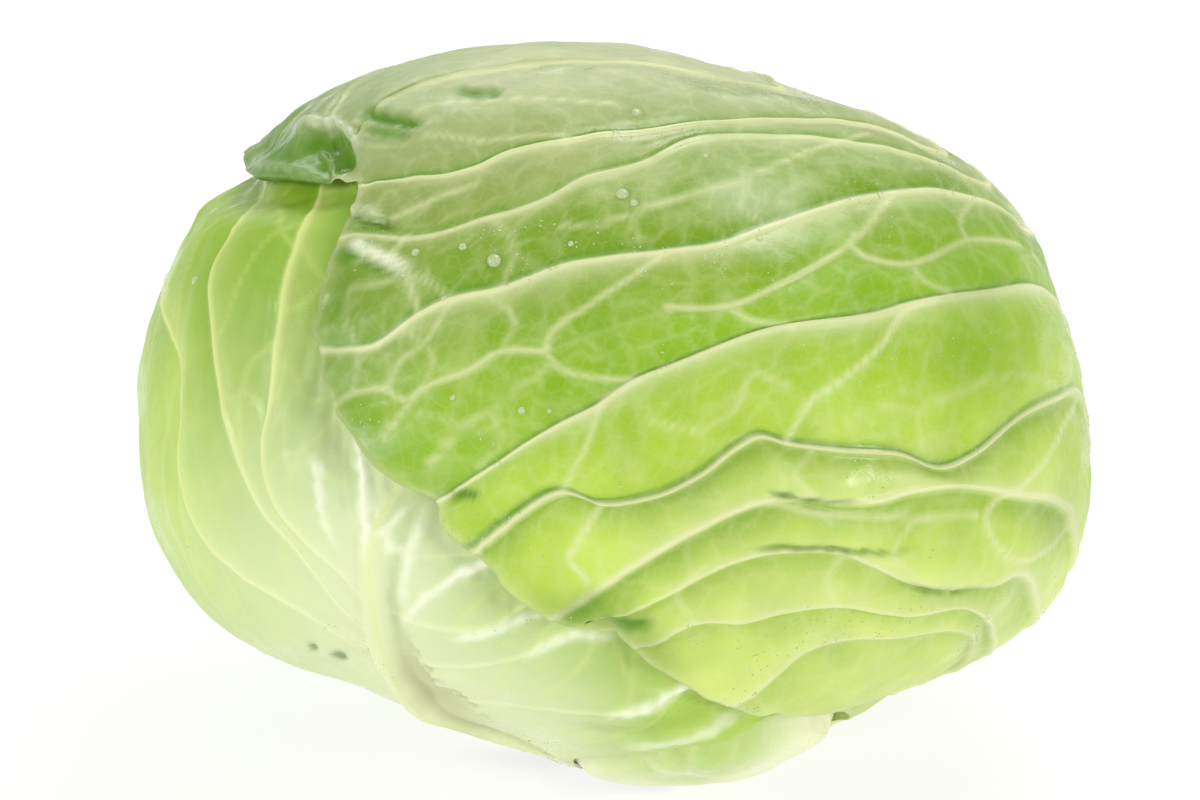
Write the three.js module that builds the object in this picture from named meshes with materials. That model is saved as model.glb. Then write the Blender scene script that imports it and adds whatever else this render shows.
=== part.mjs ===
// A head of flat cabbage: a closed heart of packed inner leaves on a cut stem, held in six
// wrapper leaves that overlap in a spiral. Millimetres, +Z up, the head's front towards -Y,
// the origin on the surface that the head rests on, under the middle of its box.
import * as THREE from "three";

const DEG = Math.PI / 180;

// ---------------------------------------------------------------- driving dimensions
// The head's widest outline, as radii from its centre every 15 degrees, from +X upwards.
const OUTLINE_RADII = [
  106, 103, 99, 91, 84, 81, 82, 85, 91, 97, 101, 105, // right, over the top, to the left
  106, 106, 99, 87, 81, 79, 83, 86, 88, 91, 101, 107, // left, under the base, to the right
];
const DEPTH_FRONT = 98; // from the outline's plane to the front
const DEPTH_BACK = 95; // and to the back
const PLUMPNESS = 2.2; // 2 is an ellipsoid; more is fuller
const LEAN = 20; // degrees that the outline's plane leans back from the vertical
const CENTRE_HEIGHT = 80; // of the head's centre above the surface
const FLAT_BLEND = 2; // over which the flat spot meets the round base
const STEM_POINT = new THREE.Vector3(0, -76, -12); // where the stem's axis leaves the head

const GAP = 1.5; // clear space between one leaf and the next
const BLADE = 1.1; // a leaf's thickness between its ribs
const EDGE_ROOM = 3; // past a leaf's outline, held free for its waves
const EDGE_REACH = 6; // past that, where the leaf below is free to swell
const STEM_ANGLE = 10.5; // half angle of the cut stem, seen from the head's centre
const LEAF_ROOT = 11.2; // the same for the ring where the leaves grow
const HEART_DEPTH = 25; // from the head's surface down to the heart, under all the leaves

// ---------------------------------------------------------------- frames and curves
// The head is drawn in its own frame: x right, y up in the outline's plane, z to the front.
const UP = new THREE.Vector3(0, Math.cos(LEAN * DEG), Math.sin(LEAN * DEG));
const stemWay = STEM_POINT.clone().normalize();
const stemFront = new THREE.Vector3(0, 0, 1).projectOnPlane(stemWay).normalize();
const stemRight = new THREE.Vector3().crossVectors(stemFront, stemWay);

// The direction at an azimuth round the stem (0 to the front, 90 to the right) and an angle
// from the stem (180 at the crown), both in degrees.
function round(azimuth, angle) {
  const side = stemFront.clone().multiplyScalar(Math.cos(azimuth * DEG));
  side.addScaledVector(stemRight, Math.sin(azimuth * DEG));
  return side.multiplyScalar(Math.sin(angle * DEG)).addScaledVector(stemWay, Math.cos(angle * DEG));
}

function outlineRadius(turn) {
  const count = OUTLINE_RADII.length;
  const at = (((turn / (2 * Math.PI)) * count) % count + count) % count;
  const i = Math.floor(at);
  const t = at - i;
  const [a, b, c, d] = [-1, 0, 1, 2].map((k) => OUTLINE_RADII[(i + k + count) % count]);
  return b + 0.5 * t * (c - a + t * (2 * a - 5 * b + 4 * c - d + t * (3 * (b - c) + d - a)));
}

// The head's radius in a direction, before any flat spot.
function roundRadius(way) {
  const across = Math.hypot(way.x, way.y) / outlineRadius(Math.atan2(way.y, way.x));
  const deep = Math.abs(way.z) / (way.z > 0 ? DEPTH_FRONT : DEPTH_BACK);
  return (across ** PLUMPNESS + deep ** PLUMPNESS) ** (-1 / PLUMPNESS);
}

// The radius with the flat spot that the head rests on: a smooth minimum of the two.
function headRadius(way) {
  const free = roundRadius(way);
  const down = -way.dot(UP);
  if (down < 0.5) return free;
  const flat = CENTRE_HEIGHT / down;
  const near = Math.max(FLAT_BLEND - Math.abs(free - flat), 0) / FLAT_BLEND;
  return Math.min(free, flat) - (near * near * FLAT_BLEND) / 4;
}

// The direction of the point of the head's front that lies at x, y in the outline's plane.
function front(x, y) {
  const across = Math.hypot(x, y) / outlineRadius(Math.atan2(y, x));
  const deep = Math.max(1 - across ** PLUMPNESS, 0) ** (1 / PLUMPNESS);
  return new THREE.Vector3(x, y, DEPTH_FRONT * deep).normalize();
}

// A smooth path through directions, read at a place in their list or at a share of its length.
class Path {
  constructor(ways) {
    this.curve = new THREE.CatmullRomCurve3(ways, false, "centripetal");
    this.last = ways.length - 1;
  }
  at(place) {
    return this.curve.getPoint(place / this.last).normalize();
  }
  share(t) {
    return this.curve.getPointAt(t).normalize();
  }
}

function smooth(t) {
  const x = Math.min(Math.max(t, 0), 1);
  return x * x * (3 - 2 * x);
}

// A value at t in a list of [t, value] steps, straight between them.
function between(steps, t) {
  let i = 1;
  while (i < steps.length - 1 && t > steps[i][0]) i += 1;
  const [[t0, v0], [t1, v1]] = [steps[i - 1], steps[i]];
  return v0 + (v1 - v0) * Math.min(Math.max((t - t0) / (t1 - t0), 0), 1);
}

// ---------------------------------------------------------------- the leaves' drawings
// Each leaf has a midrib from the stem to its tip and a margin on each side, as lists of
// directions. A side rib is written [place on the midrib, place on the margin, ...way points],
// from the base to the tip, with as many ribs on the right as on the left.

// A leaf drawn by rule round its own azimuth.
function evenLeaf(azimuth, wide, tip) {
  const margin = [[20, LEAF_ROOT], [42, 26], [60, 48], [70, 76], [72, 104], [66, 128], [48, tip - 16], [16, tip]];
  const side = (sign) => margin.map(([turn, angle]) => round(azimuth + sign * turn * wide, angle));
  const ribs = [[0, 0], [0.5, 1.4], [1, 2.4], [1.7, 3.4], [2.5, 4.4], [3.5, 5.4], [4.8, 6.3], [6, 7]];
  return {
    midrib: [LEAF_ROOT, 30, 52, 78, 104, 130, tip].map((angle) => round(azimuth, angle)),
    left: side(-1),
    right: side(1),
    leftRibs: ribs,
    rightRibs: ribs,
  };
}

const FRONT_LEAF = {
  midrib: [
    round(-20, LEAF_ROOT), front(-19, -73), front(-30, -68), front(-41, -61), front(-48, -50), front(-51, -39),
    front(-53, -28), front(-51, -19), front(-46, -8), front(-34, 14), front(-18, 40), front(-4, 60),
  ],
  left: [
    round(-56, LEAF_ROOT), round(-74, 26), round(-88, 48), round(-100, 74), round(-106, 100), round(-104, 124),
    round(-84, 142), front(-24, 70),
  ],
  right: [
    round(-2, LEAF_ROOT), front(-3, -79), front(8, -78), front(19, -76), front(32, -74), front(48, -66),
    front(58, -46), front(60, -20), front(52, 8), front(36, 36), front(14, 56),
  ],
  leftRibs: [
    [0, 0],
    [0.6, 1.3],
    [1.4, 2.5, round(-52, 47)],
    [2.3, 4.3, front(-55, -54), front(-81, -37), front(-97, -10), front(-97, 14)],
    [3.5, 5.3, front(-60, -42), front(-78, -22), front(-86, -4), front(-89, 18), front(-86, 39)],
    [4.7, 6, front(-61, -34), front(-73, -17), front(-77, -3), front(-75, 18), front(-71, 38)],
    [6, 6.3, front(-59, -20), front(-63, -6), front(-62, 17), front(-52, 42)],
    [8.6, 6.6],
    [11, 7],
  ],
  rightRibs: [
    [0, 0],
    [0.6, 0.7],
    [1.2, 1.9],
    [2, 5.2, front(-14, -66), front(8, -66), front(27, -61)],
    [3.3, 6, front(-21, -55), front(-11, -51), front(25, -48)],
    [4, 6.8, front(-28, -48), front(-18, -44), front(20, -36)],
    [5.1, 7.6, front(-28, -33)],
    [7.6, 8.8],
    [11, 10],
  ],
};

const RIGHT_LEAF_RIBS = [
  [0, 0],
  [0.4, 1.2],
  [0.85, 3, round(64, 50)],
  [1.3, 4.5, front(70, -47), front(43, -54)],
  [1.6, 6.1, front(79, -40), front(50, -43), front(18, -47)],
  [1.85, 7, front(90, -34), front(67, -38), front(50, -31), front(27, -33)],
  [2.1, 8.4, front(100, -22), front(63, -24), front(30, -22), front(0, -31)],
  [2.5, 10.2, front(103, 3), front(79, -10), front(51, -20), front(11, -18), front(-16, -20)],
  [2.9, 12, front(98, 26), front(67, 25), front(32, 18), front(-4, 1), front(-27, -12)],
  [3.3, 14.3, front(91, 37), front(58, 35), front(26, 23), front(-16, 14), front(-46, 4)],
  [3.8, 15.4, front(85, 47), front(56, 48), front(23, 37), front(-11, 32), front(-38, 25)],
  [4.3, 17.4, front(76, 54), front(38, 55), front(11, 46), front(-12, 41), front(-40, 39)],
  [4.9, 19, front(56, 64), front(11, 62), front(-23, 58), front(-46, 52)],
  [5.7, 20.2, front(31, 73), front(1, 78), front(-18, 78), front(-40, 74)],
  [7.2, 20.6, front(-50, 78), front(-63, 67)],
  [9, 21, front(-78, 54), front(-72, 52)],
];

const RIGHT_LEAF = {
  midrib: [
    round(112, LEAF_ROOT), round(110, 35), round(108, 60), round(106, 88), round(108, 115), round(122, 140),
    round(162, 157), round(-140, 151), round(-112, 136), front(-82, 59),
  ],
  left: [
    round(96, LEAF_ROOT), round(74, 24), round(54, 38), front(48, -66), front(33, -69), front(19, -64), front(5, -54),
    front(-2, -47), front(-10, -48), front(-21, -42), front(-30, -33), front(-38, -25), front(-39, -20),
    front(-49, -15), front(-60, -4), front(-65, 8), front(-66, 23), front(-63, 36), front(-59, 45), front(-58, 51),
    front(-60, 57), front(-65, 52),
  ],
  right: [
    round(136, LEAF_ROOT), round(158, 28), round(178, 50), round(192, 75), round(204, 98), round(222, 116),
    round(242, 122), round(-102, 118),
  ],
  leftRibs: RIGHT_LEAF_RIBS,
  rightRibs: RIGHT_LEAF_RIBS.map(([place], i) => [place, 7 * (i / (RIGHT_LEAF_RIBS.length - 1)) ** 0.75]),
};

// From the innermost leaf outwards, each about 137 degrees round the stem from the last. tall is
// a leaf's thickness over its ribs, drape how far from an edge it starts to sink under it, and
// cuts and across are its divisions from one rib to the next and over its two halves.
const LEAVES = [
  { name: "leaf_1_right_back", ...evenLeaf(154, 0.7, 158), tall: 2, cuts: 3, across: [8, 8], drape: 34 },
  { name: "leaf_2_left", ...evenLeaf(-74, 0.82, 156), tall: 2, cuts: 3, across: [9, 9], drape: 34 },
  { name: "leaf_3_right_front", ...evenLeaf(50, 0.95, 150), tall: 2, cuts: 3, across: [8, 8], drape: 34 },
  { name: "leaf_4_back", ...evenLeaf(-157, 1, 160), tall: 2.4, cuts: 3, across: [10, 10], drape: 30 },
  { name: "leaf_5_front", ...FRONT_LEAF, tall: 3.2, cuts: 4, across: [10, 10], drape: 20 },
  { name: "leaf_6_right", ...RIGHT_LEAF, tall: 3.6, cuts: 3, across: [18, 9], drape: 20 },
];

// ---------------------------------------------------------------- where a leaf lies
// The direction of a leaf's point: row counts the ribs from base to tip, with fractions between
// them, and side goes from the left margin, -1, over the midrib, 0, to the right margin, 1.
function leafWay(leaf, row, side) {
  const half = side < 0 ? leaf.halves[0] : leaf.halves[1];
  const low = Math.min(Math.floor(row), half.ribs.length - 2);
  const t = row - low;
  const share = Math.abs(side);
  const blend = (a, b) => a.clone().lerp(b, t);
  const way = blend(half.paths[low].share(share), half.paths[low + 1].share(share));
  const [from, to] = [half.ribs[low], half.ribs[low + 1]];
  const start = leaf.middle.at(from[0] + (to[0] - from[0]) * t);
  const end = half.margin.at(from[1] + (to[1] - from[1]) * t);
  way.addScaledVector(start.sub(blend(half.paths[low].at(0), half.paths[low + 1].at(0))), (1 - share) ** 2);
  const [a, b] = [half.paths[low], half.paths[low + 1]];
  way.addScaledVector(end.sub(blend(a.at(a.last), b.at(b.last))), share ** 2);
  return way.normalize();
}

// The leaf's outline as directions, and a flat map of the sphere in which it is a plain polygon.
const OUTLINE_STEPS = 5; // between one rib and the next
function drawOutline(leaf) {
  leaf.middle = new Path(leaf.midrib);
  leaf.halves = [[leaf.left, leaf.leftRibs], [leaf.right, leaf.rightRibs]].map(([points, ribs]) => {
    const margin = new Path(points);
    const paths = ribs.map(([start, end, ...via]) => new Path([leaf.middle.at(start), ...via, margin.at(end)]));
    return { margin, ribs, paths };
  });
  leaf.rows = leaf.leftRibs.length - 1;
  const outline = [];
  const steps = leaf.rows * OUTLINE_STEPS;
  for (let i = 0; i <= steps; i += 1) outline.push(leafWay(leaf, i / OUTLINE_STEPS, 1));
  for (let i = 1; i < 10; i += 1) outline.push(leafWay(leaf, leaf.rows, 1 - i / 5));
  for (let i = steps; i >= 0; i -= 1) outline.push(leafWay(leaf, i / OUTLINE_STEPS, -1));
  for (let i = 1; i < 10; i += 1) outline.push(leafWay(leaf, 0, -1 + i / 5));
  const middle = new THREE.Vector3();
  [-0.6, 0, 0.6].forEach((side) => middle.add(leafWay(leaf, leaf.rows / 2, side)));
  middle.normalize();
  const east = new THREE.Vector3(0.3, 0.5, 0.8).cross(middle).normalize();
  const north = new THREE.Vector3().crossVectors(middle, east);
  leaf.flatten = (way) => [way.dot(east) / (1 + way.dot(middle)), way.dot(north) / (1 + way.dot(middle))];
  leaf.outline = outline;
  leaf.flat = outline.map(leaf.flatten);
}

function isInside(leaf, way) {
  const [x, y] = leaf.flatten(way);
  let inside = false;
  leaf.flat.forEach(([x0, y0], i) => {
    const [x1, y1] = leaf.flat[(i + 1) % leaf.flat.length];
    if (y0 > y !== y1 > y && x < x0 + ((y - y0) / (y1 - y0)) * (x1 - x0)) inside = !inside;
  });
  return inside;
}

// How far outside a leaf's outline a direction lies, in millimetres along the head.
const line = new THREE.Line3();
const nearest = new THREE.Vector3();
function distanceOutside(leaf, way) {
  if (isInside(leaf, way)) return 0;
  let least = Infinity;
  leaf.outline.forEach((point, i) => {
    line.set(point, leaf.outline[(i + 1) % leaf.outline.length]);
    line.closestPointToPoint(way, true, nearest);
    least = Math.min(least, nearest.distanceTo(way));
  });
  return least * headRadius(way);
}

// How the leaves outside a layer hold it: how far they press it below the head's surface, and
// how open it is, from 0 under them to 1 clear of their edges.
function held(layer, way) {
  const { drape } = LEAVES[layer];
  let depth = 0;
  let open = 1;
  LEAVES.slice(layer + 1).forEach((leaf) => {
    const clear = distanceOutside(leaf, way) - EDGE_ROOM;
    depth += (1 - smooth(clear / drape)) * (leaf.tall + GAP);
    open = Math.min(open, smooth(clear / EDGE_REACH));
  });
  return { depth, open };
}

// ---------------------------------------------------------------- a leaf's solid
// The height of the blade's face from one rib, 0, to the next, 1: a slope that falls away from
// the lower rib, and a step up to the crest of the upper one.
const PANEL = [[0, 1], [0.25, 0.55], [0.5, 0.5], [0.75, 0.1], [1, 1]];
const RIBS_APART = 16; // ribs closer together than this merge into one low swelling
const MIDRIB = { width: 6, height: 4.5, taper: 0.7 };
const WAVES = { every: 2.3, out: 1, lift: 1.6 };

// The leaf's thickness at a point: blade, side ribs with the slopes between them, and midrib.
function thickness(leaf, row, side, off, open) {
  const share = Math.abs(side);
  const low = Math.min(Math.floor(row), leaf.rows - 1);
  const apart = leafWay(leaf, low, side).angleTo(leafWay(leaf, low + 1, side)) * 95;
  const fade = smooth(apart / RIBS_APART) * smooth(share / 0.08) * (1 - 0.35 * share) * (1 - share ** 8);
  const relief = (leaf.tall - BLADE) * between(PANEL, row % 1) * fade;
  const taper = 1 - MIDRIB.taper * smooth((row / leaf.rows) * 1.2);
  const ridge = MIDRIB.height * taper * Math.exp(-((off / (MIDRIB.width * taper)) ** 2));
  return Math.min(BLADE + relief + ridge, leaf.tall + ridge * open);
}

// The two faces' points of a leaf, in rows from base to tip.
function leafGrid(leaf, layer) {
  const rows = leaf.rows * leaf.cuts + 1;
  const [left, right] = leaf.across;
  const columns = left + right + 1;
  const outer = [];
  const inner = [];
  for (let i = 0; i < rows; i += 1) {
    const row = i / leaf.cuts;
    const middle = leafWay(leaf, row, 0);
    const inland = smooth(Math.min(i, rows - 1 - i) / 3);
    const wave = Math.sin(WAVES.every * i + layer) * inland;
    for (let j = -left; j <= right; j += 1) {
      const side = j / (j < 0 ? left : right);
      const way = leafWay(leaf, row, side);
      const off = way.angleTo(middle) * headRadius(way);
      const out = Math.abs(side) === 1 ? WAVES.out * wave * smooth(off / 60) : 0;
      if (out !== 0) way.addScaledVector(way.clone().sub(middle).normalize(), out / 95).normalize();
      const { depth, open } = held(layer, way);
      const lift = Math.abs(side) ** 7 * WAVES.lift * (0.6 + 0.4 * wave) * open * inland;
      const floor = headRadius(way) - depth - leaf.tall + lift;
      const bottom = CENTRE_HEIGHT / Math.max(-way.dot(UP), 0.1);
      inner.push(way.clone().multiplyScalar(Math.min(floor, bottom - BLADE)));
      outer.push(way.clone().multiplyScalar(Math.min(floor + thickness(leaf, row, side, off, open), bottom)));
    }
  }
  return { inner, outer, rows, columns };
}

// A closed solid between the two faces, split into triangles alike on both.
function leafGeometry(leaf, layer) {
  const { inner, outer, rows, columns } = leafGrid(leaf, layer);
  const count = rows * columns;
  const faces = [];
  for (let row = 0; row < rows - 1; row += 1) {
    for (let column = 0; column < columns - 1; column += 1) {
      const a = row * columns + column;
      const [b, c, d] = [a + 1, a + columns + 1, a + columns];
      faces.push(a, b, c, a, c, d);
      faces.push(a + count, c + count, b + count, a + count, d + count, c + count);
    }
  }
  const rim = [];
  for (let column = 0; column < columns - 1; column += 1) rim.push(column);
  for (let row = 0; row < rows - 1; row += 1) rim.push(row * columns + columns - 1);
  for (let column = columns - 1; column > 0; column -= 1) rim.push((rows - 1) * columns + column);
  for (let row = rows - 1; row > 0; row -= 1) rim.push(row * columns);
  rim.forEach((a, i) => {
    const b = rim[(i + 1) % rim.length];
    faces.push(a, a + count, b + count, a, b + count, b);
  });
  return new THREE.BufferGeometry().setFromPoints([...outer, ...inner]).setIndex(faces);
}

// ---------------------------------------------------------------- heart and stem
const HEART_DETAIL = 8;
const INNER_LEAVES = [evenLeaf(-132, 0.9, 150), evenLeaf(90, 0.9, 150), evenLeaf(-48, 0.9, 150)];
const INNER_STEP = 1.6;
const STEM_TOP = 52; // from the head's centre to the stem's inner end
const STEM_CUT = 75; // and to its cut face

// The heart: packed inner leaves that stand out of one round mass, flat where it meets the stem.
function heartGeometry() {
  INNER_LEAVES.forEach(drawOutline);
  const geometry = new THREE.IcosahedronGeometry(1, HEART_DETAIL);
  const points = geometry.getAttribute("position");
  const way = new THREE.Vector3();
  for (let i = 0; i < points.count; i += 1) {
    way.fromBufferAttribute(points, i).normalize();
    const leaves = INNER_LEAVES.reduce((sum, leaf) => sum + (isInside(leaf, way) ? INNER_STEP : 0), 0);
    const seat = (STEM_TOP - 0.5) / Math.max(way.dot(stemWay), 0.1);
    way.multiplyScalar(Math.min(headRadius(way) - HEART_DEPTH + leaves, seat));
    points.setXYZ(i, way.x, way.y, way.z);
  }
  geometry.deleteAttribute("normal");
  geometry.deleteAttribute("uv");
  return geometry;
}

// The cut stem: a short cone with a ringed face, on the axis of the head.
function stemGeometry() {
  const wide = Math.tan(STEM_ANGLE * DEG);
  const profile = [
    [0, STEM_TOP], [STEM_TOP * wide, STEM_TOP], [STEM_CUT * wide - 0.8, STEM_CUT - 1], [STEM_CUT * wide - 1.8, STEM_CUT],
    [STEM_CUT * wide - 4, STEM_CUT - 0.4], [STEM_CUT * wide - 5, STEM_CUT - 1], [0, STEM_CUT - 1.4],
  ];
  const geometry = new THREE.LatheGeometry(profile.map(([r, z]) => new THREE.Vector2(r, z)), 28);
  const turn = new THREE.Quaternion().setFromUnitVectors(new THREE.Vector3(0, 1, 0), stemWay);
  return geometry.applyQuaternion(turn);
}

// ---------------------------------------------------------------- the head
const leafGreen = (shade) => new THREE.MeshStandardMaterial({ color: shade, roughness: 0.45, metalness: 0 });
const head = new THREE.Group();

function add(name, geometry, material) {
  const mesh = new THREE.Mesh(geometry, material);
  mesh.name = name;
  head.add(mesh);
}

LEAVES.forEach(drawOutline);
LEAVES.forEach((leaf, layer) => add(leaf.name, leafGeometry(leaf, layer), leafGreen(0xa9cc66)));
add("heart", heartGeometry(), leafGreen(0xdfe8b0));
add("stem", stemGeometry(), leafGreen(0xdcdcc0));

head.rotation.x = (90 - LEAN) * DEG;
head.position.z = CENTRE_HEIGHT;

export default head;
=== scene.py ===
"""Looks for the cabbage head: fine leaves, heart and stem over the CAD frame, water drops,
a pale floor, soft light and the camera. Shapes are worked out in millimetres in the head's own
frame (x right, y up in the plane of its widest outline, z to the front) and turned into the
CAD frame at the end."""

import math
from types import SimpleNamespace

import bpy
import numpy as np
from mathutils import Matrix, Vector
from mathutils.kdtree import KDTree


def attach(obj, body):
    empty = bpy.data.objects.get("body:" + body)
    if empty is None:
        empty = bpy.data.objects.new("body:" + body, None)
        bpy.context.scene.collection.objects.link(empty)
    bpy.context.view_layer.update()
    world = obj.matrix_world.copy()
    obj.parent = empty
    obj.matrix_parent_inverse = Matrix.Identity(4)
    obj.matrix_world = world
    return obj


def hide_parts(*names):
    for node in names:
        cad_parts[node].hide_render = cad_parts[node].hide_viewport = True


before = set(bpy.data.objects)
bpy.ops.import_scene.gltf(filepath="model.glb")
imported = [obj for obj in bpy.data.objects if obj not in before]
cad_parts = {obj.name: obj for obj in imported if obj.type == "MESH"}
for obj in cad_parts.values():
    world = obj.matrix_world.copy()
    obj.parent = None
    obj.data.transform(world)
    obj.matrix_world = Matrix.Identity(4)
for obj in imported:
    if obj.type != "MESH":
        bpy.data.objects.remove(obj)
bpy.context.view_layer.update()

DEG = math.pi / 180
MM = 0.001

# ---------------------------------------------------------------- the head's form, as in the CAD
# Distances are in mm and angles in degrees.
OUTLINE_RADII = np.array([
    106, 103, 99, 91, 84, 81, 82, 85, 91, 97, 101, 105,
    106, 106, 99, 87, 81, 79, 83, 86, 88, 91, 101, 107,
], float)  # every 15 degrees round the outline, from x towards y
DEPTH_FRONT = 98.0
DEPTH_BACK = 95.0
PLUMPNESS = 2.2  # 2 gives an ellipsoid and more a boxier form
LEAN = 20.0  # how far the outline's plane leans back
CENTRE_HEIGHT = 80.0
FLAT_BLEND = 2.0  # how far the flat spot rounds into the head
STEM_POINT = np.array([0.0, -76.0, -12.0])
GAP = 1.5  # between a leaf and the one under it
BLADE = 1.1  # a leaf's thickness between its ribs
EDGE_ROOM = 3.0  # past a leaf's edge the leaf under it stays down so far
EDGE_REACH = 6.0  # and its midrib stands in full from here
STEM_ANGLE = 10.5  # the stem is a cone of this half angle
LEAF_ROOT = 11.2  # the leaves start this far from the stem's middle
HEART_DEPTH = 25.0  # from the head's surface to the heart's
HEART_SIZE = 70.0  # the heart's mean radius
STEM_TOP = 52.0  # from the head's centre
STEM_CUT = 75.0

# Where the photo's outline lies a little inside the CAD's form or outside it: a place on the
# outline, how far out in mm, and how wide in degrees.
DENTS = [
    ((52, -71), -5.0, 11), ((-45, -64), -2.6, 14), ((-14, -80), -0.8, 8), ((25, -84), -1.8, 9),
    ((50, 66), -1.4, 16), ((103, 12), -1.6, 11), ((97, -43), 2.6, 7), ((-86, 48), 1.5, 6),
]

UP = np.array([0.0, math.cos(LEAN * DEG), math.sin(LEAN * DEG)])


def unit(v):
    return v / np.linalg.norm(v, axis=-1, keepdims=True)


STEM_WAY = unit(STEM_POINT)
STEM_FRONT = unit(np.array([0.0, 0.0, 1.0]) - STEM_WAY[2] * STEM_WAY)
STEM_RIGHT = np.cross(STEM_FRONT, STEM_WAY)


def around(azimuth, angle):
    """Direction at an azimuth round the stem and an angle from it, in degrees."""
    side = STEM_FRONT * math.cos(azimuth * DEG) + STEM_RIGHT * math.sin(azimuth * DEG)
    return side * math.sin(angle * DEG) + STEM_WAY * math.cos(angle * DEG)


def stem_angle(ways):
    """Degrees between directions and the stem's."""
    return np.arccos(np.clip(ways @ STEM_WAY, -1, 1)) / DEG


def slim(ways):
    """How much thinner the leaves lie on each other by the stem, from 0.35 there to 1."""
    return 0.35 + 0.65 * smooth((stem_angle(ways) - 12) / 24)


def smooth(t):
    """A smooth step from 0 to 1."""
    x = np.clip(t, 0, 1)
    return x * x * (3 - 2 * x)


def bell(distance, width):
    """A smooth crest: 1 at no distance, and about a third at the width."""
    return np.exp(-(distance / width) ** 2)


def parts(points):
    """The x, y and z of an array of points."""
    return np.moveaxis(points, -1, 0)


def outline_radius(turn):
    """The outline's radius at angles from x towards y, in radians."""
    count = len(OUTLINE_RADII)
    at = np.mod(np.asarray(turn) / (2 * math.pi) * count, count)
    i = np.floor(at).astype(int)
    t = at - i
    a, b, c, d = (OUTLINE_RADII[(i + k) % count] for k in (-1, 0, 1, 2))
    return b + 0.5 * t * (c - a + t * (2 * a - 5 * b + 4 * c - d + t * (3 * (b - c) + d - a)))


def head_radius(way):
    """The head's radius along unit directions, with the flat spot that it rests on."""
    x, y, z = parts(way)
    across = np.hypot(x, y) / outline_radius(np.arctan2(y, x))
    deep = np.abs(z) / np.where(z > 0, DEPTH_FRONT, DEPTH_BACK)
    free = (across ** PLUMPNESS + deep ** PLUMPNESS) ** (-1 / PLUMPNESS)
    for (at_x, at_y), out, wide in DENTS:
        near = (x * at_x + y * at_y) / math.hypot(at_x, at_y)
        free = free + out * np.exp((near - 1) * 2 / (wide * DEG) ** 2)
    down = -(way @ UP)
    flat = CENTRE_HEIGHT / np.maximum(down, 0.5)
    near = np.clip(FLAT_BLEND - np.abs(free - flat), 0, None) / FLAT_BLEND
    return np.where(down < 0.5, free, np.minimum(free, flat) - near ** 2 * FLAT_BLEND / 4)


def front(x, y):
    """Direction of the point of the head's front at x, y in the outline's plane."""
    across = math.hypot(x, y) / float(outline_radius(math.atan2(y, x)))
    deep = max(1 - across ** PLUMPNESS, 0) ** (1 / PLUMPNESS)
    return unit(np.array([x, y, DEPTH_FRONT * deep]))


def direction(place):
    """A direction as it is, or the direction of a point x, y of the head's front."""
    return place if len(place) == 3 else front(*place)


class Path:
    """A smooth path through places on the head, each a direction or a point x, y of its front. It
    is read at a place in their list or at a share of its length."""

    def __init__(self, places):
        p = np.array([direction(place) for place in places], float)
        self.last = len(p) - 1
        p = np.vstack([2 * p[0] - p[1], p, 2 * p[-1] - p[-2]])
        step = np.sqrt(np.maximum(np.linalg.norm(np.diff(p, axis=0), axis=1), 1e-9))[:, None]
        p0, p1, p2, p3 = p[:-3], p[1:-2], p[2:-1], p[3:]
        d0, d1, d2 = step[:-2], step[1:-1], step[2:]
        t1 = ((p1 - p0) / d0 - (p2 - p0) / (d0 + d1) + (p2 - p1) / d1) * d1
        t2 = ((p2 - p1) / d1 - (p3 - p1) / (d1 + d2) + (p3 - p2) / d2) * d1
        self.terms = (p1, t1, -3 * p1 + 3 * p2 - 2 * t1 - t2, 2 * p1 - 2 * p2 + t1 + t2)
        self.table = np.linspace(0, self.last, 241)
        lengths = np.linalg.norm(np.diff(self.at(self.table), axis=0), axis=1)
        self.reach = np.concatenate([[0], np.cumsum(lengths)])

    def at(self, place):
        place = np.asarray(place, float)
        i = np.clip(np.floor(place).astype(int), 0, self.last - 1)
        w = (place - i)[..., None]
        c0, c1, c2, c3 = (term[i] for term in self.terms)
        return unit(c0 + w * (c1 + w * (c2 + w * c3)))

    def share(self, t):
        return self.at(np.interp(np.asarray(t) * self.reach[-1], self.reach, self.table))


# ---------------------------------------------------------------- the leaves' drawings
FRONT = "leaf_5_front"
RIGHT = "leaf_6_right"


def even_leaf(azimuth, wide, tip, foot=20):
    """A leaf drawn by rule: its azimuth, its share of a full leaf's width, how many degrees from
    the stem its tip is, and how far its foot clasps the stem to each side, in degrees."""
    margin = [(foot, LEAF_ROOT), (20 + foot, 26), (52 + foot * 0.4, 48), (70, 76), (72, 104), (66, 128),
              (48, tip - 16), (16, tip)]
    places = [(0, 0), (0.5, 1.4), (1, 2.4), (1.7, 3.4), (2.5, 4.4), (3.5, 5.4), (4.8, 6.3), (6, 7)]
    ribs = [(on_midrib, on_margin, 0.6, []) for on_midrib, on_margin in places]
    return {
        "midrib": [around(azimuth, angle) for angle in (LEAF_ROOT, 30, 52, 78, 104, 130, tip)],
        "left": [around(azimuth - turn * wide, angle) for turn, angle in margin],
        "right": [around(azimuth + turn * wide, angle) for turn, angle in margin],
        "left_ribs": ribs,
        "right_ribs": ribs,
    }


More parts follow.
